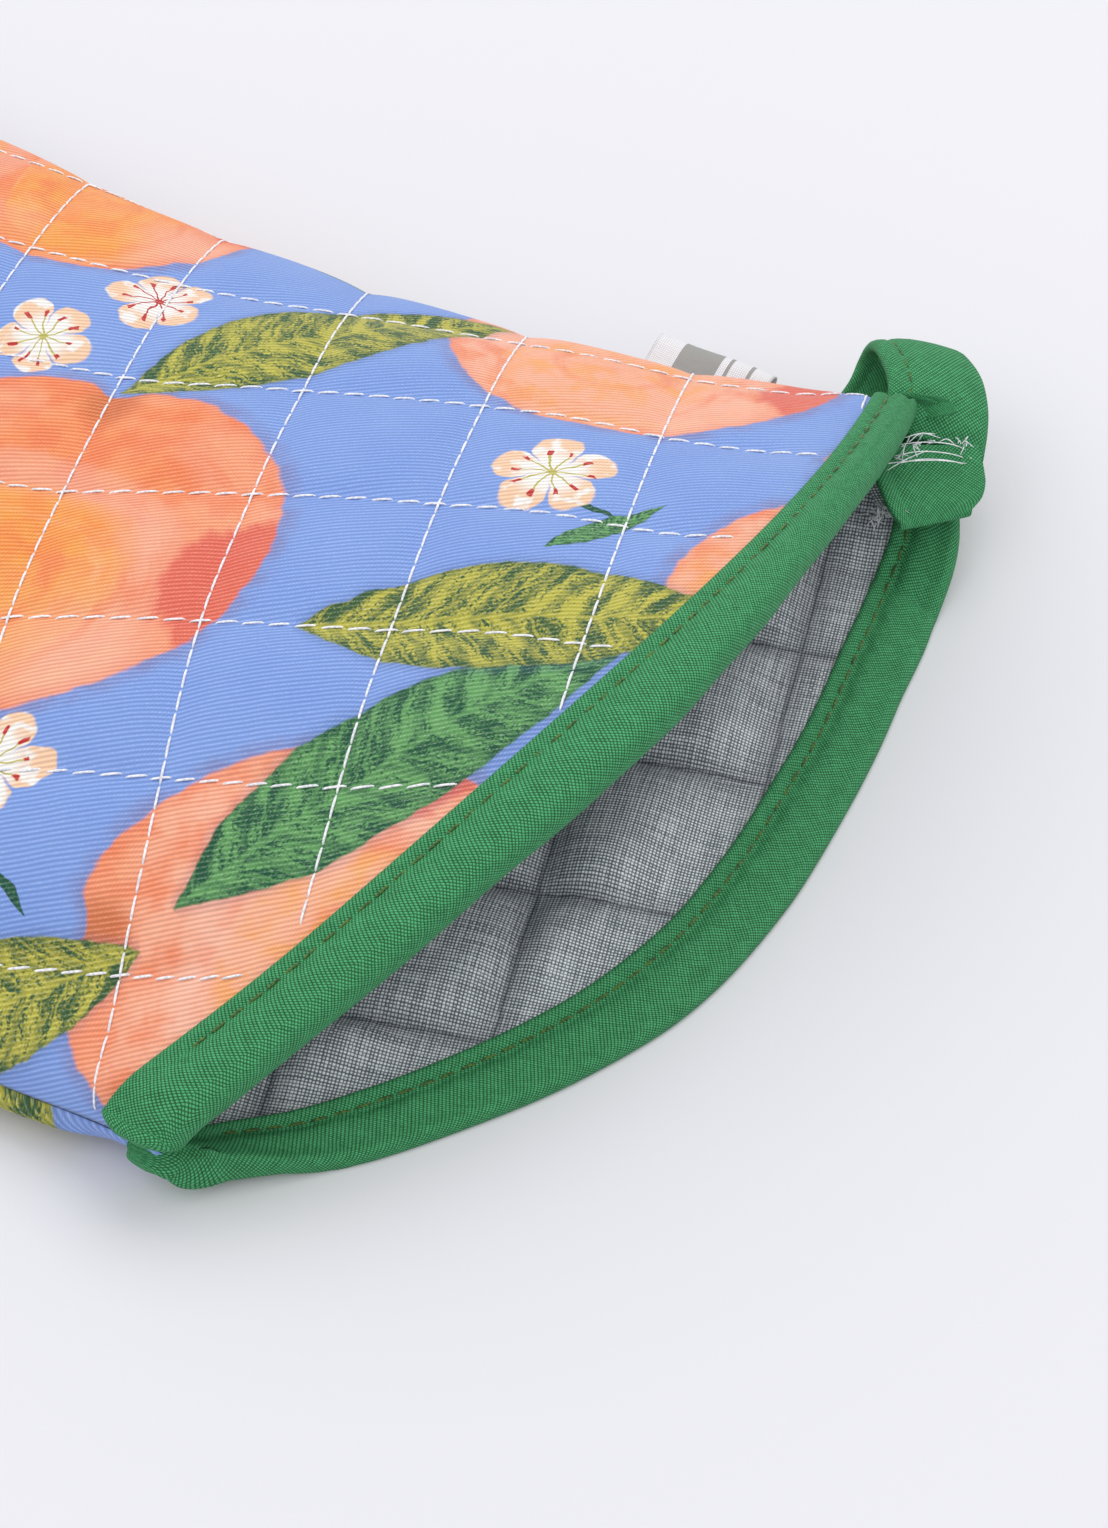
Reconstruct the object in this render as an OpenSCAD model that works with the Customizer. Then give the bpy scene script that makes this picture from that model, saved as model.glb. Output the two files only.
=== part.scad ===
// Quilted oven mitt, lying on its back panel with the cuff open.
// X runs across the mitt, Y along it from the cuff (-Y) to the fingertips (+Y), Z up. Millimetres.
// The thumb is on the -X side, the hanging loop and the side label are on the +X side seam.
// Two quilted panels (cotton shell, wadding, woven lining) meet at an overlocked side seam, and a
// bias tape binds the cuff edge of each. The panels part at two creases: the knuckle line and the
// base of the thumb.

/* [Sizes] */
// Fabric thickness of the printed shell
shell_t = 0.8; // [0.5:0.1:1.0]
// Fabric thickness of the woven lining
lining_t = 0.7; // [0.4:0.1:0.9]
// Thickness of a quilted panel away from its edges
panel_t = 6; // [5:0.2:7]
// Height of the open cuff, at the top of the front binding's inner edge
mouth_h = 40.4; // [36:0.2:46]
// Width of the binding's legs, from fold to inner edge
bind_w = 9.5; // [8:0.5:10.5]
// Wall thickness of the folded binding
bind_t = 1; // [0.8:0.05:1.1]
// Y of the fingertips
tip_y = 287; // [275:1:300]

/* [Loop and label] */
// Width of the loop tape
loop_w = 14; // [10:0.5:14]
// Thickness of the folded loop tape
loop_t = 1.6; // [1.2:0.1:1.8]
// Length of the side label along the seam
label_l = 19; // [14:1:19]
// How far the side label stands out of the seam
label_w = 11; // [8:0.5:14]

/* [Creases] */
// Y of the knuckle crease
knuckle_y = 170; // [166:1:176]
// Swing of the fingers to each side of rest, degrees
finger_swing = 60; // [40:5:60]
// Swing of the thumb to each side of rest, degrees
thumb_swing = 50; // [30:5:50]

/* [Output] */
// Which sub-part is drawn

/* [Hidden] */

edge_t = 2.6;          // panel thickness where the side seam squeezes it
cuff_t = 3.4;          // panel thickness inside the binding
ply_gap = 0.05;        // between the plies of one panel
seam_gap = 0.45;       // half the space between the panels at the side seam
cuff_gap = 1.35;       // the same at the cuff's corners, where the binding's legs pass
rest_gap = 0.2;        // clearance at the knuckle crease, each side
base_gap = 0.65;       // the same at the base of the thumb
tape_gap = 0.15;       // between a binding's leg and its panel
axis_z = 9;            // height of the knuckle crease
thumb_axis_z = 6.5;    // height of the thumb crease
cols = 14;             // steps across a panel
half_cols = 7;

// The side seams in plan: [y, x].
seam_l = [[0, -77], [40, -78], [60, -81], [72, -84], [111, -76], [150, -68], [170, -71],
    [200, -74], [224, -74.5]];
seam_r = [[-26, 78], [-10, 76.5], [10, 73], [30, 70], [50, 67.5], [70, 66], [100, 66],
    [140, 68], [190, 69], [224, 68.5]];
round_y = 224;         // where the round end of the fingers starts
// Top of the front panel along its middle: [y, z].
crown = [[-30, mouth_h + 0.4], [-18, mouth_h], [20, 35], [45, 32.6], [70, 30], [110, 27],
    [170, 23], [230, 21.5], [265, 19], [290, 16]];
// The thumb's two sides from its base to its tip: [q, x] and [q, y].
thumb_ox = [[0, -84], [0.25, -103], [0.5, -122], [0.75, -135], [0.9, -137], [1, -129]];
thumb_oy = [[0, 72], [0.25, 102], [0.5, 134], [0.75, 163], [0.9, 184], [1, 198]];
thumb_ix = [[0, -68], [0.25, -77], [0.5, -87], [0.75, -98], [0.9, -106], [1, -115]];
thumb_iy = [[0, 150], [0.25, 158], [0.5, 170], [0.75, 184], [0.9, 195], [1, 202]];
thumb_crown = [[0, 10], [0.3, 10], [0.6, 9], [0.8, 7], [0.93, 3.5], [1, 0]];

function mix(a, b, k) = a + (b - a) * k;
function clip(v) = min(1, max(0, v));
function smooth(v) = let (c = clip(v)) c * c * (3 - 2 * c);
function tan_half(deg) = tan(deg / 2);

// Column positions: -1 at the near seam, 1 at the far seam, closer together at both.
function col_t(i) = sin(90 * (i - half_cols) / half_cols);

// ---- the two panels of the hand, palm and fingers ----
function seam_x(t, y) = mix(lookup(y, seam_l), lookup(y, seam_r), (t + 1) / 2);
function seam_z(t, y) = mix(6.5, 8 + 8 * smooth((45 - y) / 65), (t + 1) / 2);
// Y of the binding's inner edge on the front (s = 1) and the back (s = -1).
function cuff_y(s, t) = -14.6 * t - (s > 0 ? 17.5 * (1 - t * t) : 31.5 * pow(1 - t * t, 0.85));
function cuffness(s, t, y) = smooth(1 - (y - cuff_y(s, t)) / 55);
function in_tape(s, t, y) = smooth(1 - (y - cuff_y(s, t)) / 12);
function gap_at(s, t, y) = mix(seam_gap, cuff_gap, in_tape(s, t, y));
function side_flat(t) = smooth((abs(t) - 0.66) / 0.34);
function thick(s, t, y, tip) =
    mix(mix(panel_t, edge_t, max(side_flat(t), tip)), cuff_t, in_tape(s, t, y));
// Thickness plus half the space at the side seam, from the seam's middle to a panel's outer face.
function seam_up(s, t, y) = gap_at(s, t, y) + mix(edge_t, cuff_t, in_tape(s, t, y));
// The thumb lifts the near side of the palm between the ends of its base line.
function base_pos(y) = clip((y - 72) / 78);
function base_lift(y) = 10 * thumb_dome(2 * base_pos(y) - 1);
function base_open(y) = 1 - pow(abs(2 * base_pos(y) - 1), 4);
function dome(t, w) = pow(max(0, 1 - pow(abs(t), 2.4 - 0.4 * w)), 0.62 + 0.33 * w);
function tip_in(v) = pow(max(0, 1 - v * v * v), 0.6);
function tip_flat(v) = smooth((v - 0.72) / 0.28);

// Outer face of the front panel, and underside of the back panel.
function front_z(t, y, v) =
    let (w = cuffness(1, t, y), foot = seam_z(t, y) + seam_up(1, t, y),
        d = dome(t, w) * tip_in(v), rise = lookup(y, crown) - foot)
    foot + rise * d + (t < 0 ? base_lift(y) * (1 - d) : 0);
function back_z(t, y, v) =
    let (foot = seam_z(t, y) - seam_up(-1, t, y), k = max(side_flat(t), tip_flat(v)),
        free = foot * k * (t < 0 ? 1 - base_open(y) : 1),
        held = max(bind_t + tape_gap, foot * side_flat(t)))
    mix(free, held, in_tape(-1, t, y));

// Depth of a ply's two faces inside its panel: [outer, inner], for ply 0 shell, 1 wadding, 2 lining.
function ply(k, th) = k == 0 ? [0, shell_t]
    : k == 1 ? [shell_t + ply_gap, th - lining_t - ply_gap] : [th - lining_t, th];

// Where the palm stops and the fingers start at the knuckle crease.
function crease(s, t) = rest_gap + tan_half(finger_swing)
    * (s > 0 ? max(2.6, front_z(t, knuckle_y, 0) - axis_z) : axis_z);
function base_crease(s, y) = smooth((y - 58) / 14) * smooth((164 - y) / 14)
    * (base_gap + tan_half(thumb_swing) * (s > 0 ? 3.1 + base_lift(y)
        : mix(3.1, thumb_axis_z, base_open(y))));

// The first row is the raw edge inside the binding, the second the binding's inner edge.
palm_rows = [-1, 0, 0.09, 0.17, 0.25, 0.32, 0.39, 0.47, 0.55, 0.63, 0.71, 0.79, 0.86, 0.93, 1];
function palm_y(s, t, v) = v < 0 ? cuff_y(s, t) - bind_w
    : mix(cuff_y(s, t), knuckle_y - crease(s, t), v);
function palm_x(s, t, y) = seam_x(t, y)
    + (t < 0 ? base_crease(s, y) * pow(-t, 3) : 0);
function palm_point(s, t, v, depth) =
    let (y = palm_y(s, t, v), z = s > 0 ? front_z(t, y, 0) : back_z(t, y, 0))
    [palm_x(s, t, y), y, z - s * depth];
function palm_face(s, k, side) = [for (v = palm_rows) [for (i = [0:cols])
    let (t = col_t(i), th = thick(s, t, palm_y(s, t, v), 0)) palm_point(s, t, v, ply(k, th)[side])]];

finger_rows = [0, 0.2, 0.4, 0.58, 0.73, 0.85, 0.94, 1];
function tip_line(t) = round_y + (tip_y - round_y) * sqrt(max(0, 1 - t * t));
function finger_y(s, t, v) = mix(knuckle_y + crease(s, t), tip_line(t), v);
function finger_point(s, t, v, depth) =
    let (y = finger_y(s, t, v), z = s > 0 ? front_z(t, y, v) : back_z(t, y, v))
    [seam_x(t, y), y, z - s * depth];
function finger_face(s, k, side) = [for (v = finger_rows) [for (i = [0:cols])
    let (t = col_t(i), th = thick(s, t, 100, tip_flat(v))) finger_point(s, t, v, ply(k, th)[side])]];

// ---- the thumb: p runs along its base line from the outer side to the crotch, q to the tip ----
thumb_rows = [0, 0.2, 0.4, 0.6, 0.75, 0.87, 0.95, 1];
thumb_cols = 10;
thumb_seam_z = 6.6;
function thumb_t(i) = sin(90 * (2 * i / thumb_cols - 1));
function thumb_dome(t) = pow(max(0, 1 - pow(abs(t), 2.4)), 0.8);
function thumb_crease(s, t) = base_gap + tan_half(thumb_swing)
    * (s > 0 ? 3.1 + 10 * thumb_dome(t) : mix(thumb_axis_z, 3.1, pow(t, 4)));
function thumb_point(s, t, q, depth) =
    let (p = (t + 1) / 2, r = mix(thumb_crease(s, t) / mix(98, 42, p), 1, q),
        k = max(smooth((abs(t) - 0.6) / 0.4), tip_flat(q)),
        z = s > 0 ? thumb_seam_z + seam_gap + edge_t + lookup(r, thumb_crown) * thumb_dome(t)
            : (thumb_seam_z - seam_gap - edge_t) * k)
    [mix(lookup(r, thumb_ox), lookup(r, thumb_ix), p),
     mix(lookup(r, thumb_oy), lookup(r, thumb_iy), p), z - s * depth];
function thumb_thick(t, q) = mix(panel_t - 1, edge_t, max(smooth((abs(t) - 0.6) / 0.4), tip_flat(q)));
function thumb_face(s, k, side) = [for (q = thumb_rows) [for (i = [0:thumb_cols])
    let (t = thumb_t(i)) thumb_point(s, t, q, ply(k, thumb_thick(t, q))[side])]];

// ---- solids from grids of points ----
function flat(m) = [for (row = m) for (p = row) p];
// A closed solid between two grids of the same size, the upper one first.
module slab(upper, lower) {
    n = len(upper);
    m = len(upper[0]);
    a = n * m;
    tops = [for (r = [0:n - 2]) for (c = [0:m - 2]) let (i = r * m + c)
        each [[i, i + m, i + m + 1], [i, i + m + 1, i + 1]]];
    bottoms = [for (r = [0:n - 2]) for (c = [0:m - 2]) let (i = a + r * m + c)
        each [[i, i + m + 1, i + m], [i, i + 1, i + m + 1]]];
    rim = concat([for (c = [0:m - 1]) c], [for (r = [1:n - 1]) r * m + m - 1],
        [for (c = [m - 2:-1:0]) (n - 1) * m + c], [for (r = [n - 2:-1:1]) r * m]);
    k = len(rim);
    walls = [for (j = [0:k - 1]) let (p = rim[j], q = rim[(j + 1) % k])
        each [[p, q, q + a], [p, q + a, p + a]]];
    polyhedron(points = concat(flat(upper), flat(lower)), faces = concat(tops, bottoms, walls));
}
// A closed solid swept through rings of the same number of points, with capped ends.
module sweep(rings, flip, cap) {
    n = len(rings);
    m = len(rings[0]);
    sides = [for (r = [0:n - 2]) for (c = [0:m - 1])
        let (i = r * m + c, j = r * m + (c + 1) % m)
        each (flip[c] ? [[i, j, j + m], [i, j + m, i + m]] : [[i, j, i + m], [j, j + m, i + m]])];
    polyhedron(points = flat(rings), faces = concat(sides,
        [for (f = cap) [f[2], f[1], f[0]]], [for (f = cap) f + (n - 1) * m * [1, 1, 1]]));
}

module panel_ply(s, k, faces_of) {
    if (faces_of == "palm") stack(s, palm_face(s, k, 0), palm_face(s, k, 1));
    if (faces_of == "fingers") stack(s, finger_face(s, k, 0), finger_face(s, k, 1));
    if (faces_of == "thumb") stack(s, thumb_face(s, k, 0), thumb_face(s, k, 1));
}
module stack(s, outer, inner) {
    if (s > 0) slab(outer, inner);
    else slab(inner, outer);
}

// ---- cuff binding: one folded tape over each raw edge ----
function bind_ring(s, t) =
    let (y1 = cuff_y(s, t), y0 = y1 - bind_w, ye = y0 - tape_gap,
        th0 = thick(s, t, y0, 0), th1 = thick(s, t, y1, 0),
        o1 = s > 0 ? front_z(t, y1, 0) : back_z(t, y1, 0) + th1,
        o0 = s > 0 ? front_z(t, y0, 0) : back_z(t, y0, 0) + th0,
        i1 = o1 - th1, i0 = o0 - th0, g = tape_gap, w = bind_t)
    [[y1, o1 + g + w], [ye, o0 + g + w], [ye - 1.2, o0 - 0.4], [ye - 1.2, i0 + 0.4],
     [ye, i0 - g - w], [y1, i1 - g - w], [y1, i1 - g], [ye, i0 - g], [ye, o0 + g], [y1, o1 + g]];
module binding(s) {
    sweep([for (i = [0:cols]) let (t = col_t(i))
        [for (q = bind_ring(s, t)) [seam_x(t, q[0]), q[0], q[1]]]],
        [false, false, false, false, true, false, false, false, true, false],
        [[0, 1, 8], [0, 8, 9], [1, 2, 8], [2, 7, 8], [2, 3, 7], [3, 4, 7], [4, 5, 6], [4, 6, 7]]);
}
// One row of stitching near the binding's inner edge.
function stitch_line(s, off, up) = [for (i = [0:cols])
    let (t = col_t(i) * (s > 0 ? 0.95 : 0.9), y = cuff_y(s, t) - off, y1 = cuff_y(s, t),
        y0 = y1 - bind_w - tape_gap, k = (y1 - y) / (y1 - y0),
        z1 = s > 0 ? front_z(t, y1, 0) : back_z(t, y1, 0) + thick(s, t, y1, 0),
        z0 = s > 0 ? front_z(t, y1 - bind_w, 0)
            : back_z(t, y1 - bind_w, 0) + thick(s, t, y1 - bind_w, 0))
    [seam_x(t, y), y, mix(z1, z0, k) + tape_gap + bind_t + (s > 0 ? 0.3 : 1.2) + up]];
module topstitch(s) {
    slab([stitch_line(s, 2.8, 0.45), stitch_line(s, 2.2, 0.45)],
        [stitch_line(s, 2.8, 0), stitch_line(s, 2.2, 0)]);
}

// ---- overlocked seam allowances between the panels ----
module seam_strip(side, ys) {
    half = 0.22;
    function at(y, inset, up) = [seam_x(side, y) - side * inset
        + (side < 0 ? base_crease(1, y) : 0), y, seam_z(side, y) + up];
    outer_up = [for (y = ys) at(y, 0.4, half)];
    inner_up = [for (y = ys) at(y, 5, half)];
    outer_dn = [for (y = ys) at(y, 0.4, -half)];
    inner_dn = [for (y = ys) at(y, 5, -half)];
    if (side > 0) slab([for (i = [0:len(ys) - 1]) [inner_up[i], outer_up[i]]],
        [for (i = [0:len(ys) - 1]) [inner_dn[i], outer_dn[i]]]);
    else slab([for (i = [0:len(ys) - 1]) [outer_up[i], inner_up[i]]],
        [for (i = [0:len(ys) - 1]) [outer_dn[i], inner_dn[i]]]);
}

module front_shell_palm() color([0.45, 0.55, 0.85]) panel_ply(1, 0, "palm");
module front_wadding_palm() color([0.95, 0.95, 0.92]) panel_ply(1, 1, "palm");
module front_lining_palm() color([0.6, 0.6, 0.62]) panel_ply(1, 2, "palm");
module back_shell_palm() color([0.45, 0.55, 0.85]) panel_ply(-1, 0, "palm");
module back_wadding_palm() color([0.95, 0.95, 0.92]) panel_ply(-1, 1, "palm");
module back_lining_palm() color([0.6, 0.6, 0.62]) panel_ply(-1, 2, "palm");
module front_binding() color([0.12, 0.5, 0.25]) binding(1);
module back_binding() color([0.12, 0.5, 0.25]) binding(-1);
module front_topstitch() color([0.5, 0.6, 0.2]) topstitch(1);
module back_topstitch() color([0.5, 0.6, 0.2]) topstitch(-1);
module seam_far() color([0.9, 0.9, 0.9]) seam_strip(1, [for (y = [-8:8:152]) y]);
module seam_near() color([0.9, 0.9, 0.9]) seam_strip(-1, [for (y = [20:10:60]) y]);
module seam_crotch() color([0.9, 0.9, 0.9]) seam_strip(-1, [153, 157, 161, 165]);

module front_shell_fingers() color([0.45, 0.55, 0.85]) panel_ply(1, 0, "fingers");
module front_wadding_fingers() color([0.95, 0.95, 0.92]) panel_ply(1, 1, "fingers");
module front_lining_fingers() color([0.6, 0.6, 0.62]) panel_ply(1, 2, "fingers");
module back_shell_fingers() color([0.45, 0.55, 0.85]) panel_ply(-1, 0, "fingers");
module back_wadding_fingers() color([0.95, 0.95, 0.92]) panel_ply(-1, 1, "fingers");
module back_lining_fingers() color([0.6, 0.6, 0.62]) panel_ply(-1, 2, "fingers");
// The fingers' seam allowance runs up one side, round the tips and down the other.
module seam_fingers() {
    ring = concat([for (y = [175:16:207]) [-1, y]], [for (i = [0:cols]) [col_t(i), 999]],
        [for (y = [207:-16:175]) [1, y]]);
    function rim(e, inset, up) = let (tip = e[1] > 900, y = tip ? tip_line(e[0]) : e[1])
        [seam_x(e[0], y) - e[0] * inset, y - (tip ? inset * sqrt(1 - e[0] * e[0]) : 0),
         seam_z(e[0], y) + up];
    color([0.9, 0.9, 0.9]) slab([for (e = ring) [rim(e, 0.5, 0.22), rim(e, 5.5, 0.22)]],
        [for (e = ring) [rim(e, 0.5, -0.22), rim(e, 5.5, -0.22)]]);
}

module front_shell_thumb() color([0.45, 0.55, 0.85]) panel_ply(1, 0, "thumb");
module front_wadding_thumb() color([0.95, 0.95, 0.92]) panel_ply(1, 1, "thumb");
module front_lining_thumb() color([0.6, 0.6, 0.62]) panel_ply(1, 2, "thumb");
module back_shell_thumb() color([0.45, 0.55, 0.85]) panel_ply(-1, 0, "thumb");
module back_wadding_thumb() color([0.95, 0.95, 0.92]) panel_ply(-1, 1, "thumb");
module back_lining_thumb() color([0.6, 0.6, 0.62]) panel_ply(-1, 2, "thumb");
module seam_thumb() {
    sides = [0.06, 0.2, 0.4, 0.6, 0.75, 0.87, 0.95];
    ring = concat([for (q = sides) [-1, q]], [for (i = [0:thumb_cols]) [thumb_t(i), 1]],
        [for (j = [6:-1:0]) [1, sides[j]]]);
    function rim(e, inset, up) =
        let (c = thumb_point(1, 0, min(e[1], 0.84), 0), b = thumb_point(1, e[0], e[1], 0),
            d = [c[0] - b[0], c[1] - b[1]], n = d / norm(d))
        [b[0] + n[0] * inset, b[1] + n[1] * inset, thumb_seam_z + up];
    color([0.9, 0.9, 0.9]) slab([for (e = ring) [rim(e, 0.4, 0.2), rim(e, 4, 0.2)]],
        [for (e = ring) [rim(e, 0.4, -0.2), rim(e, 4, -0.2)]]);
}

// ---- loop tape: leaves the far corner, folds over and comes back to the seam ----
// Each stop: centre of the tape and the direction of its width.
loop_path = [[[79.3, -20, 16.6], [0, -1]], [[82, -19, 18.4], [0.25, -0.97]],
    [[86, -17, 19.8], [0.5, -0.87]], [[89.6, -15, 19.9], [0.6, -0.8]],
    [[92.6, -13.2, 18.4], [0.6, -0.8]], [[93.6, -12.4, 15.6], [0.6, -0.8]],
    [[92.4, -12, 12.8], [0.6, -0.8]], [[89, -11, 11.2], [0.55, -0.84]],
    [[84, -8.6, 10.4], [0.35, -0.94]], [[80.5, -6.8, 9.8], [0.15, -0.99]],
    [[77.6, -5.8, 9.2], [0, -1]]];
module hanging_loop() {
    n = len(loop_path);
    function slope(i) = let (a = loop_path[max(0, i - 1)][0], b = loop_path[min(n - 1, i + 1)][0],
        d = b - a) d / norm(d);
    function corner(i, u, h) = let (w = [loop_path[i][1][0], loop_path[i][1][1], 0],
        c = cross(slope(i), w), up = c / norm(c))
        loop_path[i][0] + w * u * loop_w / 2 + up * h * loop_t / 2;
    color([0.12, 0.5, 0.25]) sweep([for (i = [0:n - 1]) [corner(i, -1, -1), corner(i, 1, -1), corner(i, 1, 1),
        corner(i, -1, 1)]], [false, false, false, false], [[0, 1, 2], [0, 2, 3]]);
}
// The tape's sewn end, showing inside the corner of the mouth.
module loop_tail() color([0.12, 0.5, 0.25])
    translate([62.5, -33, 16.2]) cube([12, 13, loop_t - 0.2]);

// ---- side label: a folded woven tab that stands out of the far seam ----
module side_label() color([0.9, 0.9, 0.88])
    translate([75.6, 3.5, 9.6]) rotate([0, -38, 0]) cube([label_w, label_l, 0.8]);

front_shell_palm();
front_wadding_palm();
front_lining_palm();
back_shell_palm();
back_wadding_palm();
back_lining_palm();
front_binding();
back_binding();
front_topstitch();
back_topstitch();
seam_far();
seam_near();
seam_crotch();
loop_tail();
front_shell_fingers();
front_wadding_fingers();
front_lining_fingers();
back_shell_fingers();
back_wadding_fingers();
back_lining_fingers();
seam_fingers();
front_shell_thumb();
front_wadding_thumb();
front_lining_thumb();
back_shell_thumb();
back_wadding_thumb();
back_lining_thumb();
seam_thumb();
hanging_loop();
side_label();
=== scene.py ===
"""Quilted oven mitt lying on its back panel with the cuff open.

X runs across the mitt, Y from the cuff to the fingertips, Z up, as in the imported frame. The shape
functions work in millimetres and repeat the frame's own rules, and meshes are made in metres.
"""

import math

import bpy
import mathutils
import numpy as np
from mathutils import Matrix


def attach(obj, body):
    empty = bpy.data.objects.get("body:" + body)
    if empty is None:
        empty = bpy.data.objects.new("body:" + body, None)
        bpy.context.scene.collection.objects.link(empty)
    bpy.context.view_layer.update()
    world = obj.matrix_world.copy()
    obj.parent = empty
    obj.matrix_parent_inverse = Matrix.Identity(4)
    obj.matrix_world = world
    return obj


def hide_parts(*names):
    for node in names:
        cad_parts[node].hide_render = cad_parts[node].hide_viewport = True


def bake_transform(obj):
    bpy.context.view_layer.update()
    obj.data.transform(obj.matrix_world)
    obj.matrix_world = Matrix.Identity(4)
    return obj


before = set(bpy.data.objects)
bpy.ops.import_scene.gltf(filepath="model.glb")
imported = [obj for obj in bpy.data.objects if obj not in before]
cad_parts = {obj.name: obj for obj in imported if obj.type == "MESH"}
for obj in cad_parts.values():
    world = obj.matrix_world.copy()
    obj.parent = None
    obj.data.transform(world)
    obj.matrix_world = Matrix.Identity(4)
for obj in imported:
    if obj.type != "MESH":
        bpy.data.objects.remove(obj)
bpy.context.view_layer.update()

MM = 0.001
rng = np.random.default_rng(7)    # for the loose threads

# ---- sizes, in millimetres
BIND_W = 9.5             # width of the binding's legs
CUFF_T = 3.4             # thickness of a panel inside the binding
PANEL_T = 6.0            # thickness of a panel away from its edges
EDGE_T = 2.6             # thickness of a panel where the side seam squeezes it
LINING_T = 0.7
TAPE_T = 1.0
SEAM_GAP = 0.45          # half the space between the linings at the side seam
CUFF_GAP = 1.35          # the same at the cuff's corners
GROOVE = 0.12            # half the width of the groove that shows at the side seam
SEAM_R_MM = 4.5          # how far the cloth takes to roll over to the seam
HALF_CUFF = 75           # about half the cuff's width, which t counts in
ROUND_Y = 224.0          # where the fingers' rounded end starts, and where it ends
TIP_Y = 287.0
BASE_Y0, BASE_Y1 = 72.0, 150.0     # the ends of the thumb's base line
QUILT = 25.0             # side of a quilted square
GRID = 1.25  # mesh spacing


# ---- curves
def mix(a, b, k):
    return a + (b - a) * k


def smooth(v):
    c = np.clip(v, 0, 1)
    return c * c * (3 - 2 * c)


def through(points):
    """A smooth curve through (x, y) points that never overshoots them."""
    x, y = np.array(points, float).T
    h = np.diff(x)
    d = np.diff(y) / h
    m = np.zeros_like(y)
    m[0], m[-1] = d[0], d[-1]
    same = d[1:] * d[:-1] > 0
    w1, w2 = 2 * h[1:] + h[:-1], h[1:] + 2 * h[:-1]
    mean = (w1 + w2) / (w1 / np.where(same, d[:-1], 1) + w2 / np.where(same, d[1:], 1))
    m[1:-1] = np.where(same, mean, 0)

    def at(q):
        q = np.clip(np.asarray(q, float), x[0], x[-1])
        i = np.clip(np.searchsorted(x, q, side="right") - 1, 0, len(h) - 1)
        s = (q - x[i]) / h[i]
        return (
            y[i] * (1 + 2 * s) * (1 - s) ** 2
            + h[i] * m[i] * s * (1 - s) ** 2
            + y[i + 1] * s * s * (3 - 2 * s)
            + h[i] * m[i + 1] * s * s * (s - 1)
        )

    return at


near_seam = through([(-30, -76.5), (0, -77), (40, -78), (60, -81), (72, -84), (111, -76), (150, -68),
                     (170, -71), (200, -74), (224, -74.5)])
far_seam = through([(-40, 79), (-26, 78), (-10, 76.5), (10, 73), (30, 70), (50, 67.5), (70, 66),
                    (100, 66), (140, 68), (190, 69), (224, 68.5)])
crown = through([(-45, 41), (-30, 40.8), (-18, 40.4), (20, 35), (45, 32.6), (70, 30), (110, 27),
                 (170, 23), (230, 21.5), (265, 19), (290, 16)])
thumb_outer = (through([(0, -84), (0.25, -103), (0.5, -122), (0.75, -135), (0.9, -137), (1, -129)]),
               through([(0, 72), (0.25, 102), (0.5, 134), (0.75, 163), (0.9, 184), (1, 198)]))
thumb_inner = (through([(0, -68), (0.25, -77), (0.5, -87), (0.75, -98), (0.9, -106), (1, -115)]),
               through([(0, 150), (0.25, 158), (0.5, 170), (0.75, 184), (0.9, 195), (1, 202)]))
thumb_crown = through([(0, 10), (0.3, 10), (0.6, 9), (0.8, 7), (0.93, 3.5), (1, 0)])


# ---- the two panels of the hand
# s is 1 on the front panel and -1 on the back; t runs from -1 at the near seam to 1 at the far one.
def seam_x(t, y):
    return mix(near_seam(y), far_seam(y), (t + 1) / 2)


def corner_lift(y):
    """How much the near corner's seam rises towards the cuff."""
    return 2.7 * smooth((36 - y) / 26)


def seam_z(t, y):
    lifted = corner_lift(y) * smooth((-t - 0.6) / 0.4)
    return mix(6.5, 8 + 8 * smooth((45 - y) / 65), (t + 1) / 2) + lifted


def foot_z(t, y):
    """The back panel's underside at its edges."""
    lifted = corner_lift(y) * smooth((-t - 0.6) / 0.4)
    return seam_z(t, y) - 0.85 * lifted - seam_up(-1, t, y)


# The open back panel's edge is pulled askew, towards the near corner.
cuff_skew = through([(-1, 0.5), (-0.92, 1), (-0.77, -0.4), (-0.6, -1), (-0.4, -1.4), (-0.2, -0.4), (0, 2),
                     (0.25, 4.5), (0.5, 5.2), (0.7, 3.5), (0.88, 0), (1, 0)])


def cuff_y(s, t):
    r = np.clip(1 - t * t, 0, 1)
    return -14.6 * t - (17.5 * r if s > 0 else 31.5 * r**0.85 - cuff_skew(t))


def tip_line(t):
    return ROUND_Y + (TIP_Y - ROUND_Y) * np.sqrt(np.clip(1 - t * t, 0, 1))


def in_tape(s, t, y):
    return smooth(1 - (y - cuff_y(s, t)) / 12)


def tip_v(t, y):
    return np.clip((y - 178) / np.maximum(tip_line(t) - 178, 1), 0, 1)


def tip_flat(v):
    return smooth((v - 0.72) / 0.28)


def side_flat(t):
    return smooth((np.abs(t) - 0.66) / 0.34)


def edge_flat(t, y):
    """1 along the edges, where the padding is squeezed flat, and 0 in the middle."""
    return np.maximum(side_flat(t), tip_flat(tip_v(t, y)))


def gap_at(s, t, y):
    return mix(SEAM_GAP, CUFF_GAP, in_tape(s, t, y))


def thick(s, t, y):
    return mix(mix(PANEL_T, EDGE_T, edge_flat(t, y)), CUFF_T, in_tape(s, t, y))


def seam_up(s, t, y):
    return gap_at(s, t, y) + mix(EDGE_T, CUFF_T, in_tape(s, t, y))


def base_pos(y):
    return np.clip((y - BASE_Y0) / (BASE_Y1 - BASE_Y0), 0, 1)


def thumb_dome(t):
    return np.clip(1 - np.abs(t) ** 2.4, 0, 1) ** 0.8


def base_open(y):
    return 1 - np.abs(2 * base_pos(y) - 1) ** 4


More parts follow.
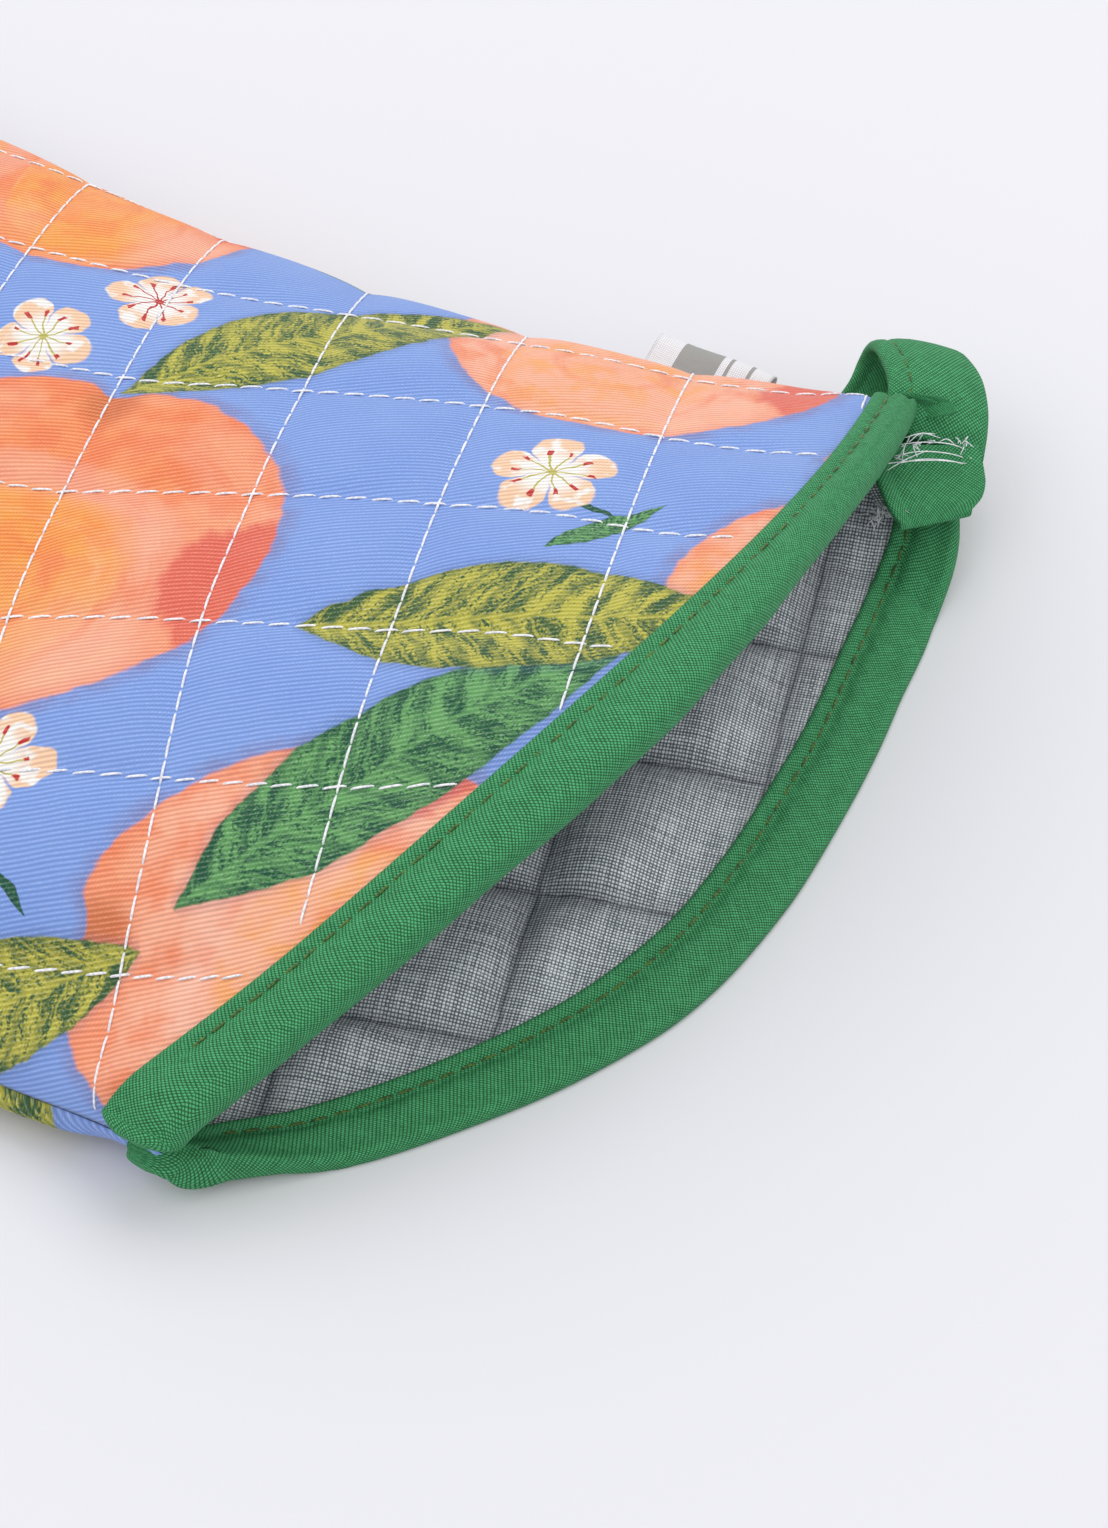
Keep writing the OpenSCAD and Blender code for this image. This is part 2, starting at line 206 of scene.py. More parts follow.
def rolled(distance, radius=SEAM_R_MM):
    """0 at a seam, 1 from radius inwards, along a quarter circle."""
    k = np.clip(distance / radius, 0, 1)
    return np.sqrt(1 - (1 - k) ** 2)


def seam_distance(t, y):
    """How far a point of the hand is from the seam, the base of the thumb left open."""
    width = far_seam(y) - near_seam(y)
    d_far = (1 - t) / 2 * width
    end = np.clip(np.minimum(y - BASE_Y0, BASE_Y1 - y), 0, None)
    d_near = np.hypot((1 + t) / 2 * width, end)
    d_tip = (tip_line(t) - y) * np.sqrt(np.clip(1 - t * t, 0, 1)) + np.where(y < ROUND_Y - 30, 99, 0)
    return np.minimum(np.minimum(d_far, d_near), np.clip(d_tip, 0, None))


def front_dome(t, y):
    """The front panel's height as a share of the crown's, and its lift at the base of the thumb."""
    near_cuff = smooth(1 - (y - cuff_y(1, t)) / 55)
    power = mix(0.62 + 0.33 * near_cuff, 1.6, np.where(t < 0, base_open(y), 0))
    dome = np.clip(1 - np.abs(t) ** (2.4 - 0.4 * near_cuff), 0, 1) ** power
    lift = np.where(t < 0, 10 * thumb_dome(2 * base_pos(y) - 1), 0)
    return dome * np.clip(1 - tip_v(t, y) ** 3, 0, 1) ** 0.6, lift


def front_z(t, y):
    share, lift = front_dome(t, y)
    up = seam_up(1, t, y)
    rise = crown(y) - seam_z(t, y) - up - lift
    rim = GROOVE + (up - GROOVE) * rolled(seam_distance(t, y))
    return seam_z(t, y) + rim + lift + rise * share


def back_bed(t, y):
    """The back panel's underside, before its edge is rounded."""
    foot = foot_z(t, y)
    free = foot * edge_flat(t, y) * np.where(t < 0, 1 - base_open(y), 1)
    held = np.maximum(TAPE_T + 0.15, foot * side_flat(t))
    return mix(free, held, in_tape(-1, t, y))


def back_z(t, y):
    z = back_bed(t, y)
    return z + (seam_z(t, y) - GROOVE - z) * (1 - rolled(seam_distance(t, y)))


def outer_z(s, t, y):
    return front_z(t, y) if s > 0 else back_z(t, y)


def lining_z(s, t, y):
    """The lining's face towards the hand, without its puffs."""
    if s > 0:
        share, lift = front_dome(t, y)
        foot = seam_z(t, y) + seam_up(1, t, y) + lift
        return foot + (crown(y) - foot) * share - thick(1, t, y)
    thicker = 0.75 * corner_lift(y) * smooth((-t - 0.86) / 0.14)
    # Past the stitching the panel's edge thins and falls towards the table.
    u = cuff_y(-1, t) - y
    fall = 3.0 * smooth((u - 1.8) / 6.5) + 0.9 * np.exp(-(((u - 3.3) / 1.1) ** 2))
    fall = fall * smooth((1 - np.abs(t)) / 0.2)
    return back_bed(t, y) + thick(-1, t, y) + thicker - fall


def bulge(t, y):
    """How far the back panel's padded edge stands out past the seam."""
    k = np.clip(seam_distance(t, y) / 5.0, 0, 1)
    fade = np.where(t < 0, 1 - smooth((y - BASE_Y0 + 12) / 12) * (y < BASE_Y1 + 10), 1)
    return 3.6 * np.sin(math.pi * k) ** 0.8 * fade * (y < ROUND_Y)


# ---- the flat cloth
class Cloth:
    """One panel's flat cloth: where a point of the panel lies on it, measured across along the
    surface from the mitt's middle line, and along Y."""

    def __init__(self, s):
        self.s = s
        self.ys = np.arange(-55.0, 291.0, 1.0)
        self.ts = np.sin(np.linspace(-1, 1, 161) * math.pi / 2)
        t, y = np.meshgrid(self.ts, self.ys)
        x, z = seam_x(t, y), outer_z(s, t, y)
        step = np.hypot(np.diff(x, axis=1), np.diff(z, axis=1) if s > 0 else 0 * np.diff(z, axis=1))
        u = np.concatenate([np.zeros((len(self.ys), 1)), np.cumsum(step, axis=1)], axis=1)
        self.u = u - u[:, [80]]

    def row(self, y):
        k = np.clip(y - self.ys[0], 0, len(self.ys) - 1.001)
        i = int(k)
        return mix(self.u[i], self.u[i + 1], k - i)

    def across(self, t, y):
        """Distance across the cloth at each t, y."""
        t, y = np.broadcast_arrays(t, y)
        k = np.clip(y.ravel() - self.ys[0], 0, len(self.ys) - 1.001)
        i = k.astype(int)
        j = np.interp(t.ravel(), self.ts, np.arange(len(self.ts)))
        j = np.clip(j, 0, len(self.ts) - 1.001)
        n = j.astype(int)
        low = mix(self.u[i, n], self.u[i, n + 1], j - n)
        high = mix(self.u[i + 1, n], self.u[i + 1, n + 1], j - n)
        return mix(low, high, k - i).reshape(t.shape)

    def t_at(self, u, y):
        return float(np.interp(u, self.row(y), self.ts))


# Quilting lines run at 16 degrees to the mitt. squares() counts them; unsquares() is its inverse.
TURN = ((0.272, -0.962), (-0.962, -0.28))
START = {1: (4.645, 3.795), -1: (-0.3, -0.753)}
PRINT_SHIFT = {1: (0, 0), -1: (12.8, -0.6)}    # centimetres of cloth between the two panels' prints


def squares(s, u, v):
    (b1, b2), (a1, a2) = TURN
    b0, a0 = START[s]
    return b0 + (b1 * u + b2 * v) / QUILT, a0 + (a1 * u + a2 * v) / QUILT


def unsquares(s, b, a):
    (b1, b2), (a1, a2) = TURN
    b0, a0 = START[s]
    p, q = (b - b0) * QUILT, (a - a0) * QUILT
    det = b1 * a2 - b2 * a1
    return (p * a2 - b2 * q) / det, (b1 * q - a1 * p) / det


def sewn(s, b, a):
    """The quilting's own count at a place on the cloth: the front's lines drift where it was fed askew."""
    if s < 0:
        return b, a
    corner = smooth((a - 3.5) / 2) * smooth((4 - b) / 1.2) * smooth((b - 1.2) / 1.2)
    return b - 0.03 - 0.17 * corner, a + 0.14 * smooth((6.4 - a) / 2.5) * smooth((5.4 - b) / 1.0)


def unsewn(s, b, a):
    """The inverse of sewn(), by repeated correction."""
    p, q = b, a
    for _ in range(6):
        p1, q1 = sewn(s, p, q)
        p, q = p + b - p1, q + a - q1
    return p, q


def puff(b, a, reach):
    """0 on a quilting line, near 1 in the middle of a square."""
    out = 1.0
    for k in (b, a):
        d = np.abs(k - np.round(k)) * QUILT
        out = out * (1 - np.exp(-np.hypot(d, 0.35) / reach))
    return out


def quilt_rise(s, b, a, u, y, held):
    """How far the quilted face stands out of the plain one. held is 1 inside the tape."""
    if s > 0:
        wave = ripple(u, y, 34, 3 + s) * 0.3 * (1 - held)
        return 1.6 * (puff(b, a, 3.4) - 0.68) * (1 - 0.8 * held) + wave
    return 0.9 * (puff(b, a, 2.6) - 1) * (1 - 0.8 * held)


def ripple(u, v, size, seed):
    """A soft random waviness from a few sine waves, the same at each run."""
    waves = np.random.default_rng(seed)
    out = 0.0
    for _ in range(9):
        angle, phase = waves.uniform(0, math.pi), waves.uniform(0, 2 * math.pi)
        k = 2 * math.pi / (size * waves.uniform(0.7, 1.8))
        out = out + np.sin(k * (u * math.cos(angle) + v * math.sin(angle)) + phase)
    return out / 4.5


# ---- meshes
def normals_of(grid):
    """Unit normals of a grid of points, rows by columns."""
    du = np.gradient(grid, axis=1)
    dv = np.gradient(grid, axis=0)
    n = np.cross(du, dv)
    return n / np.maximum(np.linalg.norm(n, axis=2, keepdims=True), 1e-9)


def outward(points, faces):
    """The faces of a closed solid, turned so that they look outward."""
    points = np.asarray(points, float)
    volume = 0.0
    for size in {len(f) for f in faces}:
        f = np.array([f for f in faces if len(f) == size])
        for k in range(1, size - 1):
            volume += np.sum(points[f[:, 0]] * np.cross(points[f[:, k]], points[f[:, k + 1]]))
    return faces if volume > 0 else [f[::-1] for f in faces]


def make_mesh(name, points, faces, material, uv=None):
    mesh = bpy.data.meshes.new(name)
    faces = [tuple(f) for f in outward(points, faces)]
    mesh.from_pydata((np.asarray(points) * MM).tolist(), [], faces)
    if uv is not None:
        layer = mesh.uv_layers.new(name="cloth")
        index = np.zeros(len(mesh.loops), int)
        mesh.loops.foreach_get("vertex_index", index)
        layer.data.foreach_set("uv", np.asarray(uv, np.float32)[index].ravel())
    mesh.polygons.foreach_set("use_smooth", [True] * len(mesh.polygons))
    mesh.validate()
    mesh.update()
    obj = bpy.data.objects.new(name, mesh)
    bpy.context.scene.collection.objects.link(obj)
    mesh.materials.append(material)
    return obj


def grid_solid(name, top, bottom, uv, material):
    """A closed solid between two grids of points of the same size, the outward one first."""
    rows, cols = top.shape[:2]
    n = rows * cols
    i = np.arange(n).reshape(rows, cols)
    quad = np.stack([i[:-1, :-1], i[:-1, 1:], i[1:, 1:], i[1:, :-1]], axis=-1).reshape(-1, 4)
    rim = np.concatenate([i[0, :], i[1:, -1], i[-1, -2::-1], i[-2:0:-1, 0]])
    after = np.roll(rim, -1)
    walls = np.stack([rim, rim + n, after + n, after], axis=-1)
    faces = np.concatenate([quad, quad[:, ::-1] + n, walls])
    points = np.concatenate([top.reshape(-1, 3), bottom.reshape(-1, 3)])
    uvs = np.concatenate([uv.reshape(-1, 2)] * 2)
    return make_mesh(name, points, faces, material, uvs)


def sweep_solid(name, rings, material, uv):
    """A closed solid through rings of the same number of points, with flat ends."""
    rings = np.asarray(rings, float)
    n, m = rings.shape[:2]
    i = np.arange(n * m).reshape(n, m)
    j = np.roll(i, -1, axis=1)
    faces = np.stack([i[:-1], j[:-1], j[1:], i[1:]], axis=-1).reshape(-1, 4).tolist()
    faces.append(i[0, ::-1].tolist())
    faces.append(i[-1].tolist())
    return make_mesh(name, rings.reshape(-1, 3), faces, material, uv)


# ---- materials
def srgb(r, g, b):
    """A colour given as 0-255 screen values, in the renderer's linear light."""
    linear = [((c / 255 + 0.055) / 1.055) ** 2.4 if c > 10 else c / 255 / 12.92 for c in (r, g, b)]
    return (*linear, 1)


def math_call(operation):
    return lambda self, *values: self.math(operation, *values)


class Nodes:
    """Short calls for shader nodes. Each takes numbers, colours or sockets, and returns a socket."""

    plus, minus = math_call("ADD"), math_call("SUBTRACT")
    times, times_plus = math_call("MULTIPLY"), math_call("MULTIPLY_ADD")
    unsigned, below, larger = math_call("ABSOLUTE"), math_call("LESS_THAN"), math_call("MAXIMUM")

    def __init__(self, name):
        self.material = bpy.data.materials.new(name)
        self.material.use_nodes = True
        self.tree = self.material.node_tree
        self.shader = self.tree.nodes["Principled BSDF"]

    def add(self, kind, values, **settings):
        node = self.tree.nodes.new("ShaderNode" + kind)
        for key, value in settings.items():
            setattr(node, key, value)
        for key, value in values.items():
            self.put(node.inputs[key], value)
        return node

    def put(self, socket, value):
        if isinstance(value, bpy.types.NodeSocket):
            self.tree.links.new(value, socket)
        else:
            socket.default_value = value

    def math(self, operation, a, b=0.0, c=0.0):
        return self.add("Math", {0: a, 1: b, 2: c}, operation=operation).outputs[0]

    def vector(self, operation, a, b=(0, 0, 0)):
        node = self.add("VectorMath", {0: a, 1: b}, operation=operation)
        return node.outputs["Value" if operation in ("LENGTH", "DISTANCE", "DOT_PRODUCT") else "Vector"]

    def colour(self, k, a, b, how="MIX"):
        node = self.add("Mix", {0: k, 6: a, 7: b}, data_type="RGBA", blend_type=how)
        return node.outputs[2]

    def pick(self, k, a, b):
        return self.add("Mix", {0: k, 4: a, 5: b}, data_type="VECTOR").outputs[1]

    def ease(self, value, low, high, to_low=0.0, to_high=1.0):
        """to_low below low, to_high above high, and smooth between them."""
        values = {"Value": value, "From Min": low, "From Max": high, "To Min": to_low, "To Max": to_high}
        return self.add("MapRange", values, interpolation_type="SMOOTHSTEP").outputs["Result"]

    def noise(self, where, scale, detail=2.0, rough=0.5, as_vector=False):
        values = {"Vector": where, "Scale": scale, "Detail": detail, "Roughness": rough}
        return self.add("TexNoise", values).outputs[1 if as_vector else 0]

    def placed(self, where, place=(0, 0), angle=0.0, size=(1, 1)):
        """Coordinates in the frame of something that lies at place, turned by angle and sized."""
        values = {"Vector": where, "Location": (*place, 0), "Rotation": (0, 0, math.radians(angle)),
                  "Scale": (*size, 1)}
        return self.add("Mapping", values, vector_type="TEXTURE").outputs[0]

    def parts(self, where):
        node = self.add("SeparateXYZ", {0: where})
        return node.outputs[0], node.outputs[1]

    def joined(self, x, y):
        return self.add("CombineXYZ", {0: x, 1: y}).outputs[0]

    def cloth(self):
        return self.add("UVMap", {}, uv_map="cloth").outputs[0]

    def waves(self, value, per_cm, phase=0.0):
        """0 to 1 and back, per_cm times in each centimetre."""
        turned = self.times_plus(value, 2 * math.pi * per_cm, phase)
        return self.times_plus(self.math("SINE", turned), 0.5, 0.5)

    def bump(self, height, mm, strength=1.0, after=None):
        values = {"Height": height, "Distance": mm * MM, "Strength": strength}
        if after is not None:
            values["Normal"] = after
        return self.add("Bump", values).outputs[0]

    def finish(self, colour, roughness, normal, **settings):
        self.put(self.shader.inputs["Base Color"], colour)
        self.put(self.shader.inputs["Roughness"], roughness)
        if normal is not None:
            self.put(self.shader.inputs["Normal"], normal)
        for key, value in settings.items():
            self.shader.inputs[key].default_value = value
        return self.material


# The print repeats every REPEAT centimetres of flat cloth, each column half a repeat down.
REPEAT = (16.0, 18.0)
ORIGIN = (-1.0, 0.0)
# Place, turn in degrees and half sizes, all in centimetres of flat cloth.
PEACHES = [
    ((4.9, 8.15), 185, (3.3, 3.3)),
    ((10.05, 14.6), 95, (2.95, 2.9)),
    ((2.95, -0.3), 160, (2.75, 2.7)),
    ((11.9, 2.2), 185, (2.85, 2.75)),
    ((16.2, 8.9), 250, (2.9, 2.85)),
    ((1.5, 14.4), 110, (2.7, 2.7)),
]
OLIVE_LEAVES = [
    ((7.55, 3.25), -37, (2.95, 0.9)),
    ((11.75, 9.5), -3, (2.9, 1.0)),
    ((5.85, 15.65), 156, (2.5, 0.85)),
    ((-0.2, 10.3), 70, (2.5, 0.85)),
]
GREEN_LEAVES = [
    ((10.85, 11.95), -42, (3.2, 0.95)),
    ((12.35, 7.5), -42, (0.9, 0.2)),
    ((7.6, 0.2), 20, (2.2, 0.6)),
    ((14.6, 12.6), 100, (2.2, 0.75)),
    ((0.1, 6.4), 130, (2.0, 0.65)),
]
STEMS = [
    ((12.05, 7.05), 26, (0.5, 0.05)),
    ((6.35, 14.0), 50, (0.4, 0.06)),
    ((2.0, 5.6), 110, (0.5, 0.05)),
    ((13.6, 16.6), 60, (0.6, 0.055)),
]
BLOSSOMS = [
    ((3.65, 4.2), 15, (0.85, 0.85)),
    ((11.4, 6.35), 50, (0.92, 0.92)),
    ((5.6, 12.15), 80, (0.9, 0.9)),
    ((13.2, 17.2), 5, (0.85, 0.85)),
    ((0.2, 17.4), 30, (0.8, 0.8)),
]
RED_BLOSSOMS = [
    ((4.95, 2.75), 35, (0.88, 0.88)),
    ((1.3, 11.2), 60, (0.85, 0.85)),
]


def repeated(motifs):
    """The motifs of one repeat, with those of its neighbours that reach into it."""
    found = []
    for (x, y), angle, size in motifs:
        reach = max(size) * 1.15
        for i in (-1, 0, 1):
            for j in (-2, -1, 0, 1, 2):
                px, py = x + i * REPEAT[0], y + i * REPEAT[1] / 2 + j * REPEAT[1]
                dx = max(ORIGIN[0] - px, px - ORIGIN[0] - REPEAT[0])
                dy = max(ORIGIN[1] - py, py - ORIGIN[1] - REPEAT[1])
                if max(dx, dy) < reach:
                    found.append(((px, py), angle, size))
    return found


def nearest(g, where, motifs):
    """Coordinates in the frame of the nearest motif."""
    best = distance = None
    for place, angle, size in repeated(motifs):
        here = g.placed(where, place, angle, size)
        far = g.vector("LENGTH", here)
        if best is None:
            best, distance = here, far
            continue
        nearer = g.below(far, distance)
        best = g.pick(nearer, best, here)
        distance = g.math("MINIMUM", far, distance)
    return best


def repeat_of(g, where):
    """The place inside one repeat of the print."""
    x, y = g.parts(where)
    column = g.math("FLOOR", g.math("DIVIDE", g.minus(x, ORIGIN[0]), REPEAT[0]))
    x = g.times_plus(column, -REPEAT[0], x)
    y = g.times_plus(column, -REPEAT[1] / 2, y)
    row = g.math("FLOOR", g.math("DIVIDE", g.minus(y, ORIGIN[1]), REPEAT[1]))
    y = g.times_plus(row, -REPEAT[1], y)
    return g.joined(x, y)


def paint_peaches(g, ground, where):
    """Two-lobed stone fruit, painted wet: orange and salmon lobes, a pale streak and a red cheek."""
    here = nearest(g, where, PEACHES)
    x, y = g.parts(here)
    r = g.vector("LENGTH", here)
    notch = g.times(g.ease(g.unsigned(x), 0.16, 0.0), g.ease(y, 0.7, 1.0, 0, 0.09))
    r = g.plus(r, notch)
    inside = g.ease(r, 1.0, 0.975)
    broad = g.noise(where, 0.5, 2)
    blots = g.noise(where, 2.0, 3)
    # Brush strokes curve round the core of the larger lobe.
    core = g.vector("DISTANCE", here, (0.1, -0.3, 0.0))
    strokes = g.noise(g.joined(g.times(core, 5.0), g.times(y, 1.4)), 1.0, 5, 0.62)
    core = g.times_plus(g.minus(strokes, 0.5), 0.22, core)
    warm = g.colour(g.ease(blots, 0.35, 0.65), srgb(253, 166, 78), srgb(252, 150, 74))
    lobe = g.colour(g.ease(blots, 0.36, 0.64), srgb(247, 134, 84), srgb(253, 150, 94))
    fruit = g.colour(g.ease(core, 0.52, 0.68), warm, lobe)
    pink = g.times(g.ease(broad, 0.44, 0.6), g.ease(r, 0.2, 0.8, 0.25, 0.9))
    pale = g.ease(g.parts(where)[0], 6.8, 8.6, 0, 0.75)
    pale = g.times(pale, g.ease(blots, 0.3, 0.62, 0.3, 1.0))
    pink = g.larger(g.times(pink, 0.35), pale)
    fruit = g.colour(pink, fruit, srgb(255, 190, 162))
    band = g.ease(g.unsigned(g.minus(core, 0.68)), 0.17, 0.02)
    band = g.times(band, g.ease(g.plus(y, blots), -0.15, 0.6))
    fruit = g.colour(g.times(band, 0.3), fruit, srgb(255, 210, 190))
    blush = g.vector("DISTANCE", here, (-0.5, -0.72, 0.0))
    fruit = g.colour(g.ease(blush, 0.5, 0.1, 0, 0.75), fruit, srgb(254, 186, 158))
    fruit = g.colour(g.ease(strokes, 0.52, 0.74, 0, 0.5), fruit, srgb(244, 120, 74))
    fruit = g.colour(g.ease(strokes, 0.48, 0.3, 0, 0.35), fruit, srgb(255, 200, 150))
    cheek = g.vector("DISTANCE", here, (-1.0, -0.18, 0.0))
    cheek = g.times_plus(strokes, 0.3, cheek)
    fruit = g.colour(g.ease(cheek, 0.58, 0.5, 0, 0.85), fruit, srgb(230, 100, 84))
    fruit = g.colour(g.times(g.ease(r, 0.9, 1.0), 0.3), fruit, srgb(238, 122, 88))
    stem = g.vector("DISTANCE", here, (0.0, 0.86, 0.0))
    fruit = g.colour(g.ease(stem, 0.2, 0.04, 0, 0.7), fruit, srgb(206, 112, 62))
    halo = g.times(g.ease(r, 1.09, 1.0), g.ease(blots, 0.35, 0.6, 0.12, 0.5))
    ground = g.colour(halo, ground, srgb(134, 120, 160))
    return g.colour(inside, ground, fruit)


def paint_leaves(g, ground, where, motifs, light, dark, bend):
    """Pointed leaves with a pale midrib, side veins and a stippled two-tone surface."""
    here = nearest(g, where, motifs)
    x, y = g.parts(here)
    along = g.minus(1.0, g.times(x, x))
    y = g.times_plus(along, bend, y)
    width = g.times(along, g.times_plus(x, -0.18, 1.0))
    side = g.unsigned(y)
    inside = g.ease(g.minus(side, width), 0.03, -0.03)
    inside = g.times(inside, g.below(g.unsigned(x), 1.0))
    slant = g.times_plus(side, -0.22, x)
    vein = g.math("PINGPONG", g.times(slant, 6.5), 0.5)
    stroke = g.noise(g.joined(g.times(slant, 9.0), g.times(y, 1.6)), 1.0, 4, 0.7)
    stipple = g.noise(where, 26.0, 1)
    tone = g.plus(g.times(stroke, 0.75), g.times(stipple, 0.35))
    leaf = g.colour(g.ease(tone, 0.47, 0.62), dark, light)
    leaf = g.colour(g.times(g.ease(vein, 0.09, 0.02), 0.6), leaf, light)
    leaf = g.colour(g.times(g.ease(vein, 0.3, 0.45), g.ease(stipple, 0.4, 0.6, 0.1, 0.55)), leaf, dark)
    leaf = g.colour(g.times(g.ease(side, 0.06, 0.02), 0.65), leaf, light)
    rim = g.ease(g.minus(side, width), -0.16, -0.02, 0, 0.4)
    leaf = g.colour(rim, leaf, dark)
    shadow = g.ease(g.minus(side, width), 0.22, 0.0, 0, 0.22)
    shadow = g.times(shadow, g.below(g.unsigned(x), 1.0))
    ground = g.colour(shadow, ground, srgb(64, 84, 130))
    return g.colour(inside, ground, leaf)


def paint_blossoms(g, ground, where, motifs, red):
    """Five-petalled blossoms with stamens."""
    here = nearest(g, where, motifs)
    x, y = g.parts(here)
    r = g.vector("LENGTH", here)
    angle = g.math("ARCTAN2", y, x)
    lobes = g.unsigned(g.math("COSINE", g.times(angle, 2.5)))
    uneven = g.noise(where, 1.6, 1)
    out = g.times_plus(g.math("POWER", lobes, 0.55), 0.42, 0.48)
    out = g.times_plus(uneven, 0.3, g.minus(out, 0.12))
    inside = g.ease(g.minus(r, out), 0.03, -0.03)
    wash = g.noise(where, 3.5, 2)
    peach = g.times(g.ease(r, 0.3, 0.7), g.ease(wash, 0.36, 0.5))
    petal = g.colour(peach, srgb(253, 248, 240), srgb(252, 208, 170))
    petal = g.colour(g.times(g.ease(lobes, 0.16, 0.02), g.ease(r, 0.2, 0.5)), petal,
                     srgb(178, 178, 214))
    rays = g.unsigned(g.math("SINE", g.times_plus(uneven, 2.0, g.times(angle, 5.0))))
    width = g.math("DIVIDE", 0.045, g.larger(r, 0.06))
    stamen = g.times(g.below(rays, g.times(width, 1.6)), g.ease(r, 0.62, 0.5))
    petal = g.colour(stamen, petal, srgb(196, 66, 60) if red else srgb(196, 188, 96))
    ring = g.unsigned(g.minus(r, g.times_plus(wash, 0.4, 0.34)))
    dots = g.times(g.below(ring, 0.075), g.below(rays, 0.3))
    petal = g.colour(dots, petal, srgb(200, 58, 52))
    return g.colour(inside, ground, petal)


def printed_cotton():
    g = Nodes("printed_cotton")
    flat = g.cloth()
    wobble = g.vector("SUBTRACT", g.noise(flat, 3.0, 2, as_vector=True), (0.5, 0.5, 0.5))
    wobble = g.vector("MULTIPLY", wobble, (0.16, 0.16, 0))
    where = g.vector("ADD", repeat_of(g, flat), wobble)
    shade = g.noise(flat, 0.8, 2)
    colour = g.colour(shade, srgb(124, 156, 224), srgb(140, 172, 231))
    colour = paint_leaves(g, colour, where, STEMS, srgb(52, 110, 80), srgb(30, 72, 60), 0.3)
    colour = paint_peaches(g, colour, where)
    colour = paint_leaves(g, colour, where, GREEN_LEAVES, srgb(108, 168, 100), srgb(34, 90, 62), 0.18)
    colour = paint_leaves(g, colour, where, OLIVE_LEAVES, srgb(196, 190, 78), srgb(60, 96, 58), 0.1)
    colour = paint_blossoms(g, colour, where, BLOSSOMS, False)
    colour = paint_blossoms(g, colour, where, RED_BLOSSOMS, True)
    # The twill: ribs across the cloth, each a row of slanting yarns.
    x, y = g.parts(flat)
    drift = g.noise(flat, 1.3, 1)
    across = g.plus(g.times(x, 0.2385), g.times(y, 0.971))
    across = g.times_plus(drift, 0.05, across)
    along = g.minus(g.times(x, 0.971), g.times(y, 0.2385))
    rib = g.waves(across, 14.0)
    yarn = g.waves(g.times_plus(across, 1.3, along), 21.0)
    fibre = g.noise(flat, 42.0, 2, 0.7)
    weave = g.plus(g.times(rib, 0.75), g.times(g.times(rib, yarn), 0.25))
    dark = g.minus(1.0, weave)
    broken = g.times(dark, g.ease(yarn, 0.2, 0.8, 0.6, 1.3))
    colour = g.colour(g.times(broken, 0.32), colour, srgb(38, 50, 96), "MULTIPLY")
    lit = g.times(g.ease(weave, 0.55, 1.0), g.ease(fibre, 0.4, 0.7))
    colour = g.colour(g.times(lit, 0.3), colour, srgb(255, 250, 245))
    rough = g.ease(fibre, 0.3, 0.7, 0.82, 0.96)
    height = g.times_plus(fibre, 0.35, weave)
    slack = g.noise(flat, 2.6, 3, 0.55)
    normal = g.bump(slack, 1.1, 0.35)
    normal = g.bump(height, 0.1, 0.4, normal)
    settings = {"Sheen Weight": 0.12, "Sheen Roughness": 0.5, "Specular IOR Level": 0.25}
    return g.finish(colour, rough, normal, **settings)


def woven(name, light, dark, per_cm, turn, slub, streak, depth_mm, blocks=False, quilted=False, **settings):
    """A plain weave: per_cm yarns each way, turned on the cloth, with uneven yarns."""
    g = Nodes(name)
    flat = g.cloth()
    x, y = g.parts(g.placed(flat, angle=turn))
    uneven_x = g.noise(g.joined(g.times(x, per_cm * 0.9), g.times(y, streak)), 1.0, 2)
    uneven_y = g.noise(g.joined(g.times(x, streak), g.times(y, per_cm * 0.9)), 1.0, 2)
    warp, weft = g.waves(x, per_cm / 2), g.waves(y, per_cm / 2)
    over = g.times(g.unsigned(g.minus(warp, 0.5)),
                  g.unsigned(g.minus(weft, 0.5)))
    over = g.times(over, 4.0)
    checks = g.times(g.minus(warp, 0.5), g.minus(weft, 0.5))
    face = g.colour(g.ease(checks, -0.08, 0.08), g.joined(uneven_x, uneven_x), g.joined(uneven_y, uneven_y))
    tone, _ = g.parts(face)
    tone = g.plus(g.times(g.minus(tone, 0.5), slub), g.times(over, 0.7))
    colour = g.colour(g.ease(tone, 0.0, 0.72), dark, light)
    if quilted:
        # Painted shade along the quilting grooves, multiplied into the lining's colour.
        colour = g.colour(painted_crease_shade(g, flat), colour, srgb(150, 152, 158), "MULTIPLY")
    if blocks:
        colour = g.colour(label_blocks(g, flat), colour, srgb(150, 150, 146))
    fibre = g.noise(flat, 60.0, 2, 0.7)
    rough = g.ease(fibre, 0.3, 0.7, settings.pop("smoothest", 0.7), settings.pop("roughest", 0.9))
    slack = g.noise(flat, 3.0, 3, 0.55)
    normal = g.bump(slack, 1.0, 0.3)
    normal = g.bump(g.times_plus(fibre, 0.2, over), depth_mm, 0.6, normal)
    return g.finish(colour, rough, normal, **settings)


def painted_crease_shade(g, flat):
    """1 along the quilting lines, where the lining is pinched: painted shade in the grooves, its thinnest
    line partly the grey stitch thread.
    """
    drift = g.vector("MULTIPLY", g.noise(flat, 2.0, 2, as_vector=True), (0.1, 0.1, 0))
    crease = 0.0
    for k in g.parts(g.vector("ADD", flat, drift)):
        away = g.unsigned(g.minus(g.math("FRACT", g.times_plus(k, 0.4, 0.48)), 0.5))
        fine = g.ease(away, 0.02, 0.004)
        soft = g.ease(away, 0.16, 0.0, 0.0, 0.36)
        crease = g.larger(crease, g.plus(g.times(fine, 0.5), soft))
    return crease


